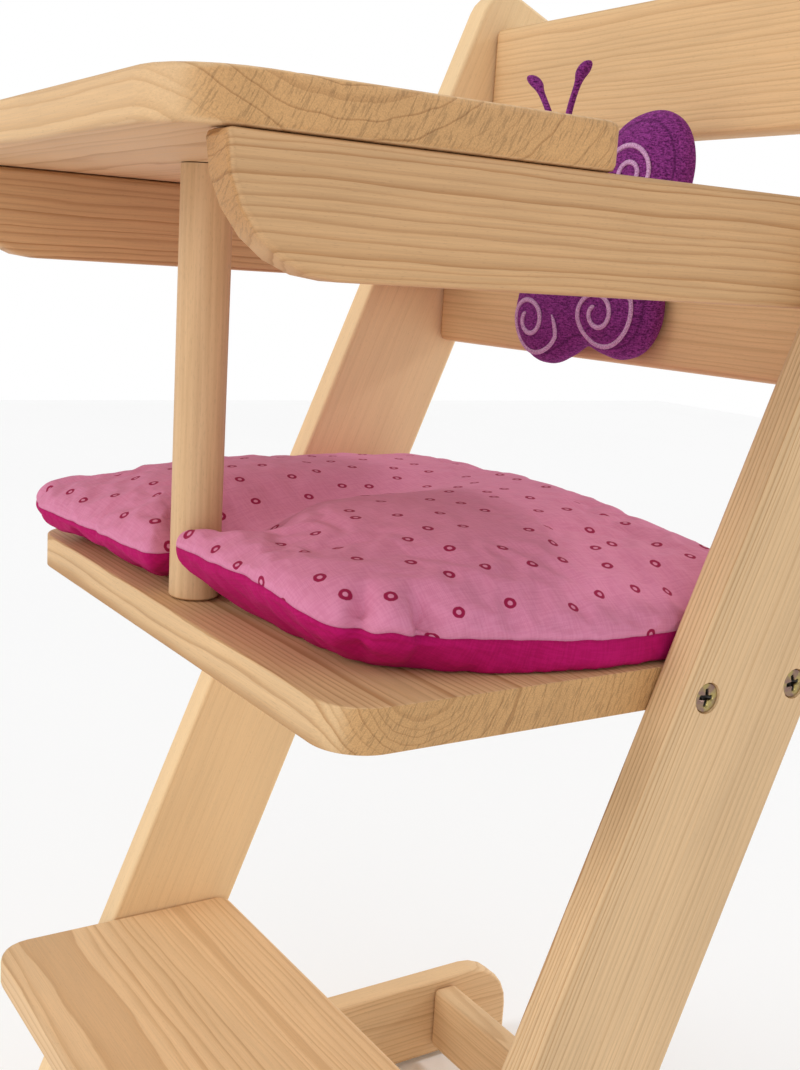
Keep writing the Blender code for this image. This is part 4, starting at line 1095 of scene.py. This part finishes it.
# Butterfly
def wing_place():
    """Place of the wings' own plane, whose Z points to the front, and the flat that their back lies on."""
    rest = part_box("butterfly_wings")[1].y
    centre = (WING_SHIFT, rest - WING_BACK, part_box("lower_back_rail")[0].z - WING_DROP + WING_HEIGHT / 2)
    pose = Matrix.Rotation(WING_YAW, 4, "Z") @ Matrix.Rotation(-WING_ROLL, 4, "Y")
    upright = Matrix(((1, 0, 0, 0), (0, 0, -1, 0), (0, 1, 0, 0), (0, 0, 0, 1)))
    return Matrix.Translation(centre) @ pose @ upright, rest


def spiral(centre, first, angle, turns, lead):
    """Points of a spiral that draws in clockwise, its lead-in drawn in too."""
    points = []
    for k in range(-round(lead * SPIRAL_STEPS), round(turns * SPIRAL_STEPS) + 1):
        turn = k / SPIRAL_STEPS
        radius = first * (math.exp(-SPIRAL_DRAW * turn) if turn > 0 else 1 + LEAD_DRAW * turn)
        here = math.radians(angle) - math.tau * turn
        points.append(Vector(centre) + radius * Vector((math.cos(here), math.sin(here))))
    return points


def stitches(loop, place, material):
    """Raised satin stitching along the spirals, half sunk in the pile."""
    outline = evenly_spaced(loop, WING_MESH)
    bm = bmesh.new()
    for given in SPIRALS:
        points = spiral(*given)
        gaps = nearest(np.array([tuple(p) for p in points]), outline)[0]
        rings = []
        for k, (point, gap) in enumerate(zip(points, gaps)):
            ahead = (points[min(k + 1, len(points) - 1)] - points[max(k - 1, 0)]).normalized()
            beside = Vector((-ahead.y, ahead.x))
            end = min(k, len(points) - 1 - k)
            full = math.sqrt(min(1.0, (end + STITCH_BLUNT) / STITCH_TAPER))
            ring = []
            for j in range(STITCH_SIDES):
                turn = math.tau * j / STITCH_SIDES
                spot = point + beside * (STITCH_WIDTH * full * math.cos(turn))
                raised = STITCH_HEIGHT * (STITCH_LIFT_SHARE + full * math.sin(turn))
                ring.append(bm.verts.new((spot.x, spot.y, WING_FRONT * puff(gap, WING_EDGE) + raised)))
            rings.append(ring)
        for near, far in zip(rings, rings[1:]):
            for j in range(STITCH_SIDES):
                nxt = (j + 1) % STITCH_SIDES
                bm.faces.new((near[j], near[nxt], far[nxt], far[j]))
        bm.faces.new(list(reversed(rings[0])))
        bm.faces.new(rings[-1])
    bmesh.ops.recalc_face_normals(bm, faces=bm.faces)
    thing = link("butterfly_stitching", meshed(bm, "butterfly_stitching"), material)
    thing.data.transform(place)
    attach(thing, "frame")


def thread():
    """Light mauve thread laid across the line of stitching."""
    f = Finish("mauve_thread", 0.6)
    where = f.millimetres()
    strands = f.noise(where, 2.4, 2.0, 0.6)
    f.colour(f.mix(f.span(strands, 0.35, 0.65), srgb(168, 112, 158), srgb(216, 170, 204)))
    f.bump(strands, 0.0003, 0.6)
    return f.material


def butterfly():
    place, rest = wing_place()
    right = [(u * WING_SPAN / 2, v * WING_HEIGHT - WING_HEIGHT / 2) for u, v in WING_OUTLINE_SHARES]
    left = [(-u, v) for u, v in reversed(right[1:-1])]
    loop = smooth_loop(right + left, WING_CURVE_STEPS)
    pile = plush("purple_plush", PLUSH_DARK, PLUSH_LIGHT, PANEL_SEAM)

    def tuft(x, y):
        return TUFT_HEIGHT * noise.noise(Vector((x, y * 2, 0)) / TUFT_PITCH)

    def front(x, y, gap):
        return WING_FRONT * puff(gap, WING_EDGE) + tuft(x, y) * min(1, gap / WING_MESH)

    def back(x, y, gap):
        return -WING_BACK * puff(gap, WING_EDGE)

    wings = stuffed("butterfly_wings_plush", loop, WING_MESH, front, back, (pile, pile))
    wings.data.transform(place)
    for vert in wings.data.vertices:
        vert.co.y = min(vert.co.y, rest)
    put(wings, "frame", "plush", "butterfly_wings")
    stitches(loop, place, thread())
    soft = plush("purple_pile", PLUSH_DARK, PLUSH_LIGHT)
    for node in ("butterfly_body", "left_feeler", "right_feeler"):
        thing = copied(node, node + "_plush", soft, math.pi)
        subdivided(thing)
        put(thing, "frame", "plush", node)
    web = plush("hook_and_loop_web", srgb(88, 30, 80), srgb(112, 48, 104))
    refined("hook_and_loop_patch", web, "hook_and_loop")


# Studio
def make_camera():
    data = bpy.data.cameras.new("photo_camera")
    data.sensor_fit = "VERTICAL"
    data.sensor_height = SENSOR
    data.sensor_width = SENSOR
    data.lens = FOCAL_PIXELS / PHOTO_HEIGHT * SENSOR
    data.clip_start, data.clip_end = CAMERA_CLIP
    camera = placed("photo_camera", data)
    cy, sy = math.cos(CAMERA_YAW), math.sin(CAMERA_YAW)
    ahead = Vector((-sy * math.cos(CAMERA_PITCH), cy * math.cos(CAMERA_PITCH), -math.sin(CAMERA_PITCH)))
    right = Vector((cy, sy, 0))
    down = ahead.cross(right)
    cr, sr = math.cos(CAMERA_ROLL), math.sin(CAMERA_ROLL)
    right, down = cr * right + sr * down, -sr * right + cr * down
    turn = Matrix((right, -down, -ahead)).transposed().to_4x4()
    camera.matrix_world = Matrix.Translation(CAMERA_AT) @ turn
    bpy.context.scene.camera = camera


def sun(name, to_light, energy, angle):
    data = bpy.data.lights.new(name, "SUN")
    data.energy = energy
    data.angle = angle
    placed(name, data).rotation_euler = to_light.to_track_quat("Z", "Y").to_euler()


def studio():
    make_camera()
    bpy.context.scene.view_settings.view_transform = "Standard"
    world = bpy.data.worlds.new("studio")
    bpy.context.scene.world = world
    world.use_nodes = True
    tree = world.node_tree
    glow = tree.nodes["Background"]
    glow.inputs["Color"].default_value = (1, 1, 1, 1)
    glow.inputs["Strength"].default_value = AMBIENT
    page = tree.nodes.new("ShaderNodeBackground")
    page.inputs["Color"].default_value = (1, 1, 1, 1)
    page.inputs["Strength"].default_value = 1.0
    seen = tree.nodes.new("ShaderNodeLightPath")
    either = tree.nodes.new("ShaderNodeMixShader")
    tree.links.new(seen.outputs["Is Camera Ray"], either.inputs[0])
    tree.links.new(glow.outputs[0], either.inputs[1])
    tree.links.new(page.outputs[0], either.inputs[2])
    tree.links.new(either.outputs[0], tree.nodes["World Output"].inputs[0])
    sun("back_sun", *BACK_SUN)
    sun("front_sun", *FRONT_SUN)
    sun("side_sun", *SIDE_SUN)
    f = Finish("floor", 0.9)
    f.colour(f.mix(f.noise(f.place.outputs["Object"], 1.5, 2.0), *FLOOR_GREYS))
    bm = bmesh.new()
    bmesh.ops.create_grid(bm, x_segments=1, y_segments=1, size=FLOOR_SIZE / 2)
    mesh = meshed(bm, "floor")
    mesh.materials.append(f.material)
    floor = placed("floor", mesh)


boards()
fittings()
screws()
cushion()
butterfly()
studio()
